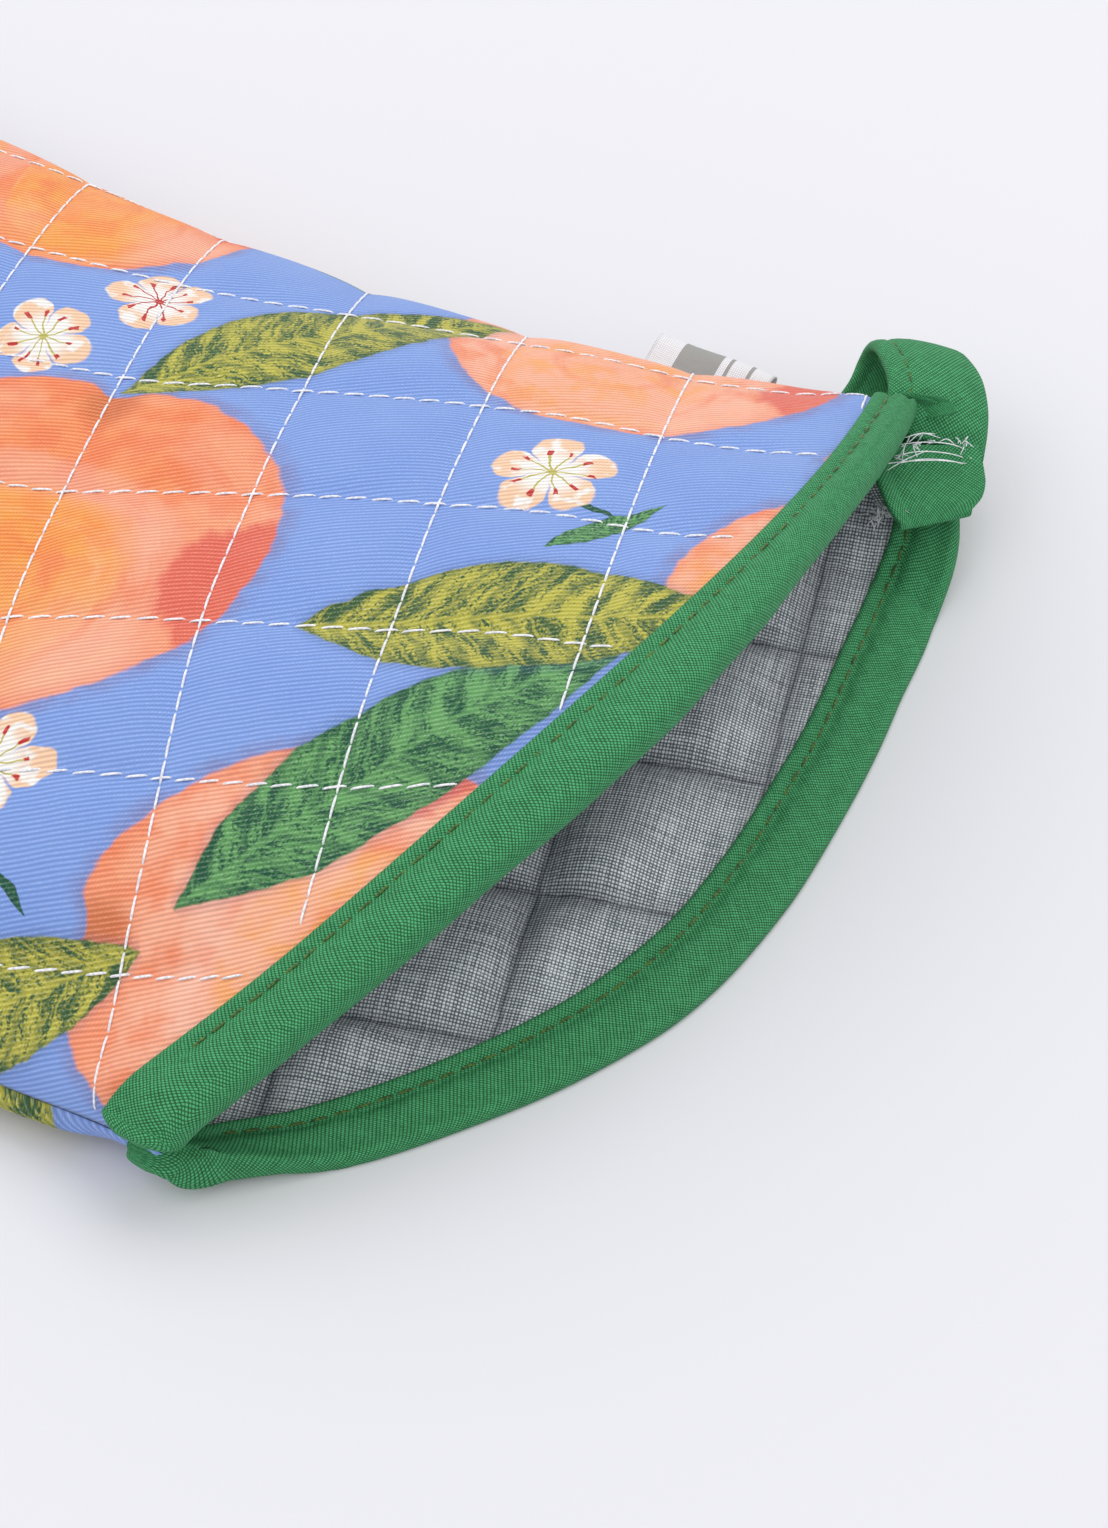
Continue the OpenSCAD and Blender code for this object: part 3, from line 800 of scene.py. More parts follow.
def label_blocks(g, flat):
    """A plain block and two thin bars woven into the label, without any lettering."""
    x, y = g.parts(flat)
    block = g.below(g.unsigned(g.minus(x, 1.15)), 0.33)
    for place, half in ((0.68, 0.03), (0.34, 0.03)):
        bar = g.below(g.unsigned(g.minus(x, place)), half)
        block = g.larger(block, bar)
    return block


def sewing_thread(name, light, dark):
    """Twisted thread: fine slanting plies on whatever it is on."""
    g = Nodes(name)
    where = g.add("TexCoord", {}).outputs["Object"]
    ply = g.noise(where, 2600.0, 1)
    colour = g.colour(g.ease(ply, 0.35, 0.65), dark, light)
    normal = g.bump(ply, 0.06, 0.5)
    settings = {"Sheen Weight": 0.2, "Specular IOR Level": 0.35}
    return g.finish(colour, g.ease(ply, 0.3, 0.7, 0.55, 0.8), normal, **settings)


COTTON = printed_cotton()
LINING = woven("woven_lining", srgb(250, 255, 255), srgb(92, 100, 111), 22.0, 0, 1.1, 1.2, 0.10,
               quilted=True, smoothest=0.42, roughest=0.68)
TAPE = woven("green_tape", srgb(78, 176, 114), srgb(8, 84, 40), 27.0, 45, 0.7, 3.0, 0.05)
LABEL = woven("label_tape", srgb(246, 246, 246), srgb(206, 207, 210), 30.0, 0, 0.4, 3.0, 0.05,
              blocks=True, smoothest=0.45, roughest=0.6)
EDGING = woven("overlocked_edge", srgb(240, 240, 238), srgb(176, 178, 182), 6.0, 0, 0.8, 2.0, 0.2)
WHITE = sewing_thread("white_thread", srgb(250, 250, 250), srgb(214, 216, 224))
GREEN = sewing_thread("green_thread", srgb(92, 122, 46), srgb(40, 76, 34))


def studio_floor():
    g = Nodes("studio_floor")
    where = g.add("TexCoord", {}).outputs["Object"]
    tone = g.noise(where, 3.0, 1)
    return g.finish(g.colour(tone, srgb(222, 222, 225), srgb(225, 225, 228)), 0.9, None)


FLOOR = studio_floor()


# ---- quilted panels
CLOTHS = {1: Cloth(1), -1: Cloth(-1)}
PUFF_ROLL = 9            # how far from the seams the puffs take to reach their height
ROLL_STEPS = np.array([0, 0.08, 0.25, 0.5, 0.85, 1.3, 1.85, 2.5, 3.3])
INSET = 1.2              # how far inside the seam the inner faces end
HAND_T = 1 - INSET / HALF_CUFF


def spread(length, step, start_roll=True, end_roll=True):
    """Places from 0 to length, closer together where the cloth rolls over to a seam."""
    first = ROLL_STEPS if start_roll else np.array([0.0])
    last = length - (ROLL_STEPS[::-1] if end_roll else np.array([0.0]))
    middle = np.linspace(first[-1], last[0], max(3, int(length / step)))
    return np.concatenate([first, middle[1:-1], last])


ROW_STEP = GRID / 1.4
NEAR_Y0 = float(cuff_y(1, -1.0)) - 8
BASE_STEPS = spread(BASE_Y1 - BASE_Y0, ROW_STEP)
NEAR_YS = np.concatenate([
    NEAR_Y0 + spread(BASE_Y0 - NEAR_Y0, ROW_STEP, False, False)[:-1],
    BASE_Y0 + BASE_STEPS,
    BASE_Y1 + spread(ROUND_Y - BASE_Y1, ROW_STEP, False, True)[1:],
])
SHARES = (NEAR_YS - NEAR_Y0) / (ROUND_Y - NEAR_Y0)
COLS = spread(2 * HALF_CUFF, GRID) / HALF_CUFF - 1
BASE_ROW = int(np.argmin(np.abs(NEAR_YS - BASE_Y0)))
BASE_ROWS = slice(BASE_ROW, BASE_ROW + len(BASE_STEPS))


def raw_edge(s, t):
    """How far the cloth reaches into the folded tape."""
    return 8 - 3.2 * smooth((t + 0.25) / 0.85) if s > 0 else 8.0


def hand_faces(s):
    """The outer face, the padding's inner face and both faces of the lining, and the flat cloth."""
    t, share = np.meshgrid(COLS, SHARES)
    y = mix(cuff_y(s, t) - raw_edge(s, t), tip_line(t), share)
    u = CLOTHS[s].across(t, y)
    b, a = squares(s, u, y)
    held = in_tape(s, t, y)
    base = np.stack([seam_x(t, y), y, outer_z(s, t, y)], axis=-1)
    n = normals_of(base) * s
    rise = quilt_rise(s, *sewn(s, b, a), u, y, held) * rolled(seam_distance(t, y), PUFF_ROLL)
    outer = base + n * rise[..., None]
    outer[..., 2] = np.maximum(outer[..., 2], 0)
    if s < 0:
        outer[..., 0] += np.sign(t) * bulge(t, y) * (1 - held)

    t_in = t * HAND_T
    y_in = mix(cuff_y(s, t_in) - raw_edge(s, t_in), tip_line(t_in) - INSET, share)
    u_in = CLOTHS[s].across(t_in, y_in)
    b_in, a_in = squares(s, u_in, y_in)
    soft = 1 - in_tape(s, t_in, y_in)
    fill = puff(b_in, a_in, 2.6) - 0.3
    relief = (3.2 * fill + ripple(u_in, y_in, 16, 11 + s) * 0.5) * (0.05 + 0.95 * soft)
    relief = relief * rolled(seam_distance(t_in, y_in), 14)
    z_in = lining_z(s, t_in, y_in) - s * relief
    hand = np.stack([seam_x(t_in, y_in), y_in, z_in], axis=-1)
    up = np.array([0, 0, s])
    flat = np.stack([b, a], axis=-1) * QUILT / 10
    flat_in = np.stack([b_in, a_in], axis=-1) * QUILT / 10
    return outer, hand + up * (LINING_T + 0.05), hand + up * LINING_T, hand, flat, flat_in


def facing(s, *grids):
    """Grids turned so that their first face looks up on the front and down on the back."""
    return grids if s > 0 else [g[:, ::-1] for g in grids]


SIDE = {1: "front", -1: "back"}
faces_of = {}
for s in (1, -1):
    faces_of[s] = hand_faces(s)
    outer, pad_in, lining_out, hand, flat, flat_in = faces_of[s]
    shell = grid_solid(SIDE[s] + "_quilted_shell", *facing(s, outer, pad_in, flat + PRINT_SHIFT[s]), COTTON)
    lining = grid_solid(SIDE[s] + "_lining", *facing(s, lining_out, hand, flat_in), LINING)
    for piece in (shell, lining):
        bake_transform(piece)
    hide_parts(*[f"{SIDE[s]}_{ply}_{body}" for ply in ("shell", "wadding")
                         for body in ("palm", "fingers")])
    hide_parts(*[f"{SIDE[s]}_lining_{body}" for body in ("palm", "fingers")])


# ---- the thumb
THUMB_Z = 6.6
THUMB_LEN = 118.0
THUMB_QS = np.concatenate([
    np.linspace(0, 1 - 3.3 / THUMB_LEN, int(THUMB_LEN / GRID)),
    1 - ROLL_STEPS[-2::-1] / THUMB_LEN,
])


def thumb_plan(p, q):
    return (mix(thumb_outer[0](q), thumb_inner[0](q), p), mix(thumb_outer[1](q), thumb_inner[1](q), p))


def thumb_seam_distance(p, q):
    ox, oy = thumb_plan(0, q)
    ix, iy = thumb_plan(1, q)
    width = np.hypot(ox - ix, oy - iy)
    return np.minimum(np.minimum(p, 1 - p) * width, (1 - q) * THUMB_LEN)


def thumb_faces(s):
    """As hand_faces, with the first row on the hand's near edge, so that the cloth runs on."""
    outer_hand, _, _, hand_hand, *_ = faces_of[s]
    p, q = np.meshgrid(BASE_STEPS / BASE_STEPS[-1], THUMB_QS)
    t = 2 * p - 1
    thumb_t = np.sin(t * math.pi / 2)
    x, y = thumb_plan(p, q)
    dist = thumb_seam_distance(p, q)
    flatness = np.maximum(smooth((np.abs(t) - 0.6) / 0.4), tip_flat(q))
    foot = SEAM_GAP + EDGE_T
    top = foot + thumb_crown(q) * thumb_dome(t)
    th = mix(PANEL_T - 1, EDGE_T, flatness)
    if s > 0:
        z = THUMB_Z + GROOVE + (top - GROOVE) * rolled(dist)
        z_in = THUMB_Z + top - th
    else:
        low = (THUMB_Z - foot) * flatness
        z = low + (THUMB_Z - GROOVE - low) * (1 - rolled(dist))
        z_in = low + th
    u = CLOTHS[s].across(-1.0, BASE_Y0 + 78 * p) + x - thumb_plan(p, 0)[0]
    b, a = squares(s, u, y)
    base = np.stack([x, y, z], axis=-1)
    n = normals_of(base)
    n *= np.sign(n[..., 2:].mean()) * s
    outer = base + n * (quilt_rise(s, b, a, u, y, 0) * rolled(dist, PUFF_ROLL))[..., None]
    join = (1 - smooth(q / 0.12))[..., None]
    edge = outer_hand[BASE_ROWS, 0]
    outer = outer + (edge - outer[0])[None] * join
    outer[..., 2] = np.maximum(outer[..., 2], 0)
    centre = np.stack([*thumb_plan(0.5, np.minimum(q, 0.9)), z], axis=-1)
    away = centre[..., :2] - outer[..., :2]
    away *= (INSET / np.maximum(np.hypot(*np.moveaxis(away, -1, 0)), 4))[..., None]
    relief = 1.6 * (puff(b, a, 3.4) - 0.3) * rolled(dist, 12)
    hand = np.concatenate([outer[..., :2] + away, (z_in - s * relief)[..., None]], axis=-1)
    hand = hand + (hand_hand[BASE_ROWS, 0] - hand[0])[None] * join
    up = np.array([0, 0, s])
    flat = np.stack([b, a], axis=-1) * QUILT / 10
    return outer, hand + up * (LINING_T + 0.05), hand + up * LINING_T, hand, flat, flat


thumb_of = {}
for s in (1, -1):
    thumb_of[s] = thumb_faces(s)
    outer, pad_in, lining_out, hand, flat, flat_in = thumb_of[s]
    # The thumb's columns run along Y and its rows towards -X, so they look up as they are.
    shell = grid_solid(SIDE[s] + "_thumb_shell", *facing(s, outer, pad_in, flat + PRINT_SHIFT[s]), COTTON)
    lining = grid_solid(SIDE[s] + "_thumb_lining", *facing(s, lining_out, hand, flat_in), LINING)
    for piece in (shell, lining):
        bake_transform(piece)
    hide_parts(f"{SIDE[s]}_shell_thumb", f"{SIDE[s]}_wadding_thumb")
    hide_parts(f"{SIDE[s]}_lining_thumb")


# ---- cuff bindings
# The folded tape's outer and inner legs: distance from its inner edge, and height above the cloth.
LEG = np.array([(0.1, 0.0), (-0.1, 0.3), (-0.05, 0.62), (0.3, 0.88), (0.9, 0.98), (1.6, 0.9), (2.1, 0.66),
                (2.45, 0.64), (2.9, 0.9), (3.7, 1.3), (4.8, 1.58), (6.0, 1.62), (7.2, 1.5), (8.4, 1.25)])
INNER_LEG = np.concatenate([LEG[:6], [(2.1, 0.6), (2.45, 0.45), (3.0, 0.5), (3.8, 0.8), (4.8, 1.15),
                                      (6.0, 1.3), (7.2, 1.25), (8.4, 1.05)]])
NOSE = np.radians(np.arange(75, -76, -15))
NOSE_U = 9.3             # where the tape turns round the raw edge
NOSE_R = 1.75
STITCH_U = 2.3           # the topstitching's distance from the tape's inner edge
BIND_TS = np.sin(np.linspace(-1, 1, 171) * math.pi / 2) * (1 - 0.6 / HALF_CUFF)


def tape_frame(s, t, u):
    """Points of the panel's outer and inner faces under the tape, and the way out of them."""
    y = cuff_y(s, t) - np.minimum(u, BIND_W)
    e = 0.004

    def face(tt):
        return seam_x(tt, y), outer_z(s, tt, y)

    (x0, z0), (x1, z1) = face(np.clip(t - e, -1, 1)), face(np.clip(t + e, -1, 1))
    slope = np.clip((z1 - z0) / (x1 - x0), -1.2, 1.2)
    out = np.stack([-slope, 0 * slope, np.ones_like(slope)], axis=-1)
    out *= s / np.sqrt(1 + slope**2)[..., None]
    z_in = lining_z(s, t, y)
    z_out = np.maximum(s * outer_z(s, t, y), s * z_in + 1.6) * s
    x = seam_x(t, y)
    ys = cuff_y(s, t) - u
    return np.stack([x, ys, z_out], -1), np.stack([x, ys, z_in], -1), out


def tape_u(s, t, u):
    """Distances from the tape's inner edge, the tape narrower where it is gathered at a corner."""
    if s > 0:
        return u * (1 - 0.48 * smooth((t + 0.25) / 0.85) * np.clip(u / NOSE_U, 0, 1))
    drawn = smooth((-t - 0.86) / 0.14)
    return NOSE_U - 0.6 * drawn - (NOSE_U - u) * (0.88 - 0.3 * drawn)


# How far each end of the tape rounds over, past its last full outline: [side, end].
CAP_REACH = {(1, 1): (1.9, -7.9, 1.9), (1, -1): (-2.0, 0, -0.5),
             (-1, 1): (2.2, 0, 0), (-1, -1): (-1.4, 1.4, 0.7)}
CAP_STEPS = np.sin(np.linspace(0, 0.48, 11) * math.pi)


def binding_rings(s):
    """Outlines of the folded tape along one edge of the cuff, from the near corner to the far one."""
    t = BIND_TS[:, None]
    calm = 1 - smooth((-t - 0.75) / 0.15)
    across = t * HALF_CUFF
    pucker = ripple(across, 0 * t, 5, 21 + s) * calm
    slack = ripple(across, 0 * t, 17, 31 + s)

    def leg(profile, side):
        u = tape_u(s, t, profile[:, 0][None])
        outer, inner, out = tape_frame(s, t, u)
        drag = 0.14 * calm * np.sin((across + u * 1.1) * 2 * math.pi / 5.5 + slack * 3)
        drag = drag * smooth(u / 2) * smooth((9 - u) / 3)
        # The stitching's valley fills up where the tape is drawn in at the near corner.
        filled = 0.62 * np.exp(-(profile[:, 0][None] - 2.3) ** 2) * smooth((-t - 0.86) / 0.08)
        h = profile[:, 1][None] + filled + (0.08 * pucker + 0.12 * slack + drag) * smooth(u / 3)
        return (outer + out * h[..., None]) if side > 0 else (inner - out * h[..., None])

    top, under = leg(LEG, 1), leg(INNER_LEG, -1)[:, ::-1]
    outer, inner, out = tape_frame(s, t, tape_u(s, t, NOSE_U + 0 * NOSE[None]))
    middle, half = (outer + inner) / 2, np.linalg.norm(outer - inner, axis=-1) / 2 + 1.05
    round_it = middle + out * (half * np.sin(NOSE)[None])[..., None]
    round_it[..., 1] -= NOSE_R * np.cos(NOSE)[None] * (1 + 0.12 * slack)
    o2, i2, _ = tape_frame(s, t, tape_u(s, t, np.array([[0.5, 9.1]])))
    closing = np.concatenate([i2, o2[:, ::-1]], axis=1)
    rings = np.concatenate([top, round_it, under, closing], axis=1)
    # The ends are sewn shut: the slot for the panel closes and the tape rounds over.
    caps = []
    for way in (-1, 1):
        shut = (rings[-1] if way > 0 else rings[0]).copy()
        shut[-3], shut[-2] = mix(shut[-4], shut[-1], 1 / 3), mix(shut[-4], shut[-1], 2 / 3)
        mid = shut.mean(0)
        plain = shut
        for _ in range(6):
            plain = (np.roll(plain, 1, axis=0) + plain * 2 + np.roll(plain, -1, axis=0)) / 4
        reach = np.array(CAP_REACH[s, way])
        arch = 1.0 if s > 0 and way > 0 else 0.0
        cap = []
        for k in CAP_STEPS:
            shift = reach * k + (way * 0.15, 0, arch * math.sin(math.pi * k))
            outline = mix(shut, plain, min(1, k * 2))
            cap.append(mid + (outline - mid) * math.sqrt(1 - k * k) + shift)
        caps.append(np.array(cap if way > 0 else cap[::-1]))
    rings = np.concatenate([caps[0], rings, caps[1]])
    rings[..., 2] = np.maximum(rings[..., 2], 0.05)
    return rings


def run_of(line):
    """How far each point of a line is along it."""
    return np.concatenate([[0], np.cumsum(np.linalg.norm(np.diff(line, axis=0), axis=1))])


def tape_uv(rings):
    """Along the tape and across it, in centimetres."""
    across = np.linalg.norm(np.diff(rings, axis=1), axis=2).mean(0)
    u = np.concatenate([[0], np.cumsum(across)]) / 10
    return np.stack(np.meshgrid(u, run_of(rings.mean(1)) / 10), axis=-1).reshape(-1, 2)


for s in (1, -1):
    rings = binding_rings(s)
    tape = sweep_solid(SIDE[s] + "_cuff_binding", rings, TAPE, tape_uv(rings))
    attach(tape, "palm")
    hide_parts(SIDE[s] + "_binding")


# ---- stitches
def stitch_set(name, ends, ups, radius, material, sag=0.25):
    """Sewn stitches: short threads, each raised in its middle and dipping into the cloth at both ends."""
    ends, ups = np.asarray(ends, float), np.asarray(ups, float)
    a, b = ends[:, 0], ends[:, 1]
    along = b - a
    length = np.linalg.norm(along, axis=1, keepdims=True)
    along = along / np.maximum(length, 1e-6)
    side = np.cross(along, ups)
    side /= np.maximum(np.linalg.norm(side, axis=1, keepdims=True), 1e-6)
    ups = np.cross(side, along)
    # Along the stitch: share of its length, lift and size, both in radii.
    places = [(0.0, -1.1, 0.55), (0.12, -0.15, 0.9), (0.35, 0.15, 1.0),
              (0.65, 0.15, 1.0), (0.88, -0.15, 0.9), (1.0, -1.1, 0.55)]
    corners = np.radians(np.arange(0, 360, 60))
    rings = []
    for k, lift, size in places:
        centre = mix(a, b, k) + ups * (lift * radius + sag * radius)
        for c in corners:
            rings.append(centre + radius * size * (side * math.cos(c) + ups * 0.8 * math.sin(c)))
    points = np.stack(rings, axis=1)
    m, n = len(corners), len(places)
    i = np.arange(n * m).reshape(n, m)
    j = np.roll(i, -1, axis=1)
    quads = np.stack([i[:-1], i[1:], j[1:], j[:-1]], axis=-1).reshape(-1, 4)
    count = len(points)
    offset = (np.arange(count) * n * m)[:, None, None]
    faces = (quads[None] + offset).reshape(-1, 4).tolist()
    faces += (i[0][None] + offset[:, 0]).tolist()
    faces += (i[-1][::-1][None] + offset[:, 0]).tolist()
    return make_mesh(name, points.reshape(-1, 3), faces, material)


def hand_point(s, u, y):
    """A point of a panel's outer face at a place on its flat cloth, in a quilting line's valley."""
    t = CLOTHS[s].t_at(u, y)
    e = 0.01
    p, px, py = (np.array([seam_x(tt, yy), yy, outer_z(s, np.array(tt), np.array(yy))], float)
                 for tt, yy in ((t, y), (t + e, y), (t, y + 0.5)))
    n = np.cross(px - p, py - p)
    n *= s / max(np.linalg.norm(n), 1e-9)
    rise = quilt_rise(s, *sewn(s, *squares(s, u, y)), u, y, float(in_tape(s, t, y)))
    rise *= float(rolled(seam_distance(np.array(t), np.array(y)), PUFF_ROLL))
    return p + n * rise, n, t


STITCH = 3.5             # from one quilting stitch to the next
STITCH_GAPS = (0.15, 0.55)    # between stitches of the lines across the mitt, and of those along it
TOPSTITCH = 2.9          # from one topstitch to the next
QUILT_THREAD = {"radius": 0.19, "sag": 0.9}


def stitch_places():
    """The two ends of every quilting stitch on an endless cloth, counted in quilted squares."""
    for family, gap in enumerate(STITCH_GAPS):
        slant = 0.24 / QUILT * family
        for line in range(-8, 12):
            for k in range(-60, 100):
                start = k * STITCH / QUILT
                pair = (line + slant, start), (line - slant, start + (STITCH - gap) / QUILT)
                yield pair if family == 0 else [place[::-1] for place in pair]


def quilt_stitches(s):
    """Ends and upward ways of the quilting stitches that fall on a panel of the hand."""
    ends, ups = [], []
    for pair in stitch_places():
        flat = [unsquares(s, *unsewn(s, *place)) for place in pair]
        if not all(-45 < y < 289 for _, y in flat):
            continue
        rows = [CLOTHS[s].row(y) for _, y in flat]
        if not all(row[0] + 1.2 < u < row[-1] - 1.2 for row, (u, _) in zip(rows, flat)):
            continue
        got = [hand_point(s, u, y) for u, y in flat]
        if all(cuff_y(s, t) + 0.4 <= y <= tip_line(t) - 4 for (_, y), (_, _, t) in zip(flat, got)):
            ends.append([point for point, _, _ in got])
            ups.append(got[0][1])
    return ends, ups


for s in (1, -1):
    ends, ups = quilt_stitches(s)
    threads = stitch_set(SIDE[s] + "_quilting_thread", ends, ups, material=WHITE, **QUILT_THREAD)
    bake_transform(threads)


def stitches_along(line, out, start, spare, length):
    """Ends and upward ways of the stitches in a line of points; out is the way out at each point."""
    run = run_of(line)
    ends, ups = [], []
    for k in np.arange(start, run[-1] - spare, TOPSTITCH):
        ends.append([np.array([np.interp(v, run, line[:, i]) for i in range(3)]) for v in (k, k + length)])
        ups.append([np.interp(k, run, out[:, i]) for i in range(3)])
    return ends, ups


def topstitches(s):
    """Stitches in the groove of a binding, on the leg that shows from above."""
    ts = np.linspace(-0.985, 0.985, 1200)
    line, inside, out = tape_frame(s, ts, tape_u(s, ts, STITCH_U))
    if s < 0:
        line, out = inside, -out
    return stitches_along(line + out * 0.62, out, 0.5, 2.8, 2.3)


for s in (1, -1):
    ends, ups = topstitches(s)
    thread = stitch_set(SIDE[s] + "_binding_topstitch", ends, ups, 0.2, GREEN)
    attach(thread, "palm")
    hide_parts(SIDE[s] + "_topstitch")


# ---- tape of the loop and its sewn end
def spline(points, count):
    """count points along a smooth curve through the given ones, evenly shared between them."""
    p = np.asarray(points, float)
    p = np.concatenate([2 * p[:1] - p[1:2], p, 2 * p[-1:] - p[-2:-1]])
    k = np.linspace(0, len(points) - 1.0001, count)
    i = k.astype(int)
    f = (k - i).reshape(-1, *[1] * (p.ndim - 1))
    a, b, c, d = p[i], p[i + 1], p[i + 2], p[i + 3]
    return 0.5 * (2 * b + (c - a) * f + (2 * a - 5 * b + 4 * c - d) * f * f + (3 * b - a - 3 * c + d) * f**3)


# Across the folded tape: share of the width, and height over the tape's middle in half thicknesses.
TAPE_FACE = np.array([(0.0, 0.0), (0.005, 0.5), (0.03, 0.88), (0.08, 1.05), (0.14, 1.0), (0.175, 0.72),
                      (0.2, 0.7), (0.235, 0.98), (0.3, 1.1), (0.42, 1.16), (0.55, 1.16), (0.68, 1.14),
                      (0.8, 1.1), (0.9, 1.04), (0.96, 0.9), (0.995, 0.5), (1.0, 0.0)])


def tape_rings(left, right, half, count, crown_mm=0.0):
    """Rings of a folded tape between two edge curves, and its way up; crown_mm lifts its middle."""
    left, right = spline(left, count), spline(right, count)
    across = right - left
    along = np.gradient((left + right) / 2, axis=0)
    up = np.cross(across, along)
    up /= np.linalg.norm(up, axis=1, keepdims=True)
    k, h = TAPE_FACE.T
    middle = left[:, None] + across[:, None] * k[None, :, None]
    middle = middle + up[:, None] * (crown_mm * np.sin(math.pi * k) ** 0.7)[None, :, None]
    wave = ripple(np.arange(count)[:, None] * 0.8, k[None] * 14, 7, 41) * 0.1
    face = middle + up[:, None] * (half * h[None] + wave * (h[None] > 0.6))[..., None]
    under = middle - up[:, None] * (half * h[None])[..., None]
    return np.concatenate([face, under[:, -2:0:-1]], axis=1), up


def tape_piece(name, left, right, half, count, crown_mm):
    """A piece of folded tape with rounded ends, and its rings."""
    rings, up = tape_rings(left, right, half, count, crown_mm)
    caps = []
    for end, before in ((0, 1), (-1, -2)):
        mid = rings[end].mean(0)
        way = mid - rings[before].mean(0)
        way /= np.linalg.norm(way)
        for k in (0.4, 0.75, 0.95):
            edge = up[end] * ((rings[end] - mid) @ up[end])[:, None]
            caps.append(rings[end] - edge * (1 - math.sqrt(1 - k * k)) + way * half * k)
    rings = np.concatenate([np.array(caps[:3])[::-1], rings, np.array(caps[3:])])
    return sweep_solid(name, rings, TAPE, tape_uv(rings)), rings


# The two edges of each piece of tape.
LOOP_LEFT = [
    (73.5, -17.0, 18.0), (75.6, -16.8, 19.8), (78.8, -15.4, 21.0), (82.4, -12.6, 20.8), (86.0, -9.6, 19.0),
    (88.0, -7.6, 16.4), (87.4, -6.8, 13.8), (84.8, -6.8, 12.2), (81.0, -6.4, 11.0), (77.6, -5.6, 9.8),
]
LOOP_RIGHT = [
    (79.6, -31.0, 12.6), (82.4, -30.0, 14.6), (86.0, -28.2, 15.8), (90.0, -25.2, 16.6), (92.8, -21.4, 16.4),
    (94.8, -18.6, 13.6), (94.4, -17.4, 11.2), (90.8, -16.2, 9.8), (85.2, -14.8, 9.2), (78.6, -14.0, 8.6),
]
loop, loop_rings = tape_piece("tape_loop", LOOP_LEFT, LOOP_RIGHT, 0.85, 60, 0.9)
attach(loop, "loop")
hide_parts("hanging_loop")

TAIL_LEFT = [
    (67.2, -17.2, 19.0), (65.0, -19.7, 18.2), (62.9, -22.2, 17.0), (61.0, -24.8, 15.6), (60.2, -27.0, 14.2),
]
TAIL_RIGHT = [
    (77.6, -31.0, 16.4), (75.4, -32.8, 15.0), (73.8, -33.9, 14.0), (71.8, -34.4, 13.2), (69.4, -34.0, 12.6),
]
tail, tail_rings = tape_piece("tape_tail", TAIL_LEFT, TAIL_RIGHT, 0.8, 26, 1.6)
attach(tail, "palm")
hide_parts("loop_tail")


TAPE_GROOVE = 6          # the groove's place in the tape's outline
for name, rings, first, last, body in (("loop_topstitch", loop_rings, 6, 32, "loop"),
                                       ("loop_return_topstitch", loop_rings, 36, 60, "loop"),
                                       ("tail_topstitch", tail_rings, 10, 27, "palm")):
    line = rings[first:last, TAPE_GROOVE]
    out = line - rings[first:last].mean(1)
    thread = stitch_set(name, *stitches_along(line, out, 0.2, 2.4, 2.4), 0.18, GREEN)
    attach(thread, body)


# ---- loose thread and raw edges
def strands(name, paths, radius, material):
    """Loose threads, each a thin tube along a smooth curve."""
    points, faces = [], []
    corners = np.radians(np.arange(0, 360, 72))
    for path in paths:
        line = spline(path, 8 * len(path))
        along = np.gradient(line, axis=0)
        side = np.cross(along, (0.3, -0.4, 0.86))
        side /= np.linalg.norm(side, axis=1, keepdims=True)
        up = np.cross(side, along)
        up /= np.linalg.norm(up, axis=1, keepdims=True)
        taper = radius * (0.45 + 0.55 * np.sin(np.linspace(0.1, math.pi - 0.1, len(line))))[:, None]
        ring = [line + taper * (side * math.cos(c) + up * math.sin(c)) for c in corners]
        grid = np.stack(ring, axis=1)
        n, m = grid.shape[:2]
        start = len(points)
        points += grid.reshape(-1, 3).tolist()
        i = start + np.arange(n * m).reshape(n, m)
        j = np.roll(i, -1, axis=1)
        faces += np.stack([i[:-1], i[1:], j[1:], j[:-1]], axis=-1).reshape(-1, 4)[:, ::-1].tolist()
        faces += [i[0, ::-1].tolist(), i[-1].tolist()]
    return make_mesh(name, points, faces, material)


OVERLOCK = [
    [(63.9, -20.4, 19.25), (66.9, -23.0, 18.85), (70.9, -27.2, 17.85), (74.9, -30.8, 15.45)],
    [(67.1, -22.4, 19.65), (70.3, -25.0, 19.05), (73.7, -28.4, 17.25), (76.5, -31.0, 14.45)],
    [(66.5, -23.2, 19.05), (69.9, -25.8, 18.25), (73.1, -29.2, 16.65), (76.1, -31.4, 13.45)],
    [(68.5, -21.8, 20.25), (71.5, -24.6, 19.65), (74.9, -27.8, 17.85), (77.7, -30.6, 14.65)],
    [(64.9, -22.4, 18.65), (67.7, -23.8, 19.05), (71.1, -25.6, 18.85)],
    [(70.1, -22.4, 20.65), (72.1, -23.8, 20.45), (73.9, -25.4, 19.65)],
    [(69.7, -23.2, 20.45), (72.3, -24.0, 20.45), (74.1, -26.2, 19.05)],
]
for _ in range(10):
    base = np.array([76.9, -29.0, 16.85]) + rng.normal(0, 0.8, 3)
    bend = rng.normal(0, 1.1, 3)
    OVERLOCK.append([base, base + bend * 0.6 + (0.2, 0.2, 0.5), base + bend + rng.normal(0, 0.5, 3)])
for _ in range(10):
    base = np.array([69.9, -23.6, 20.05]) + rng.normal(0, 0.9, 3) * (1.6, 1.2, 0.5)
    OVERLOCK.append([base, base + rng.normal(0, 0.7, 3) + (0, 0, 0.3), base + rng.normal(0, 1.2, 3)])
threads = strands("corner_overlock_threads", OVERLOCK, 0.09, WHITE)
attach(threads, "palm")


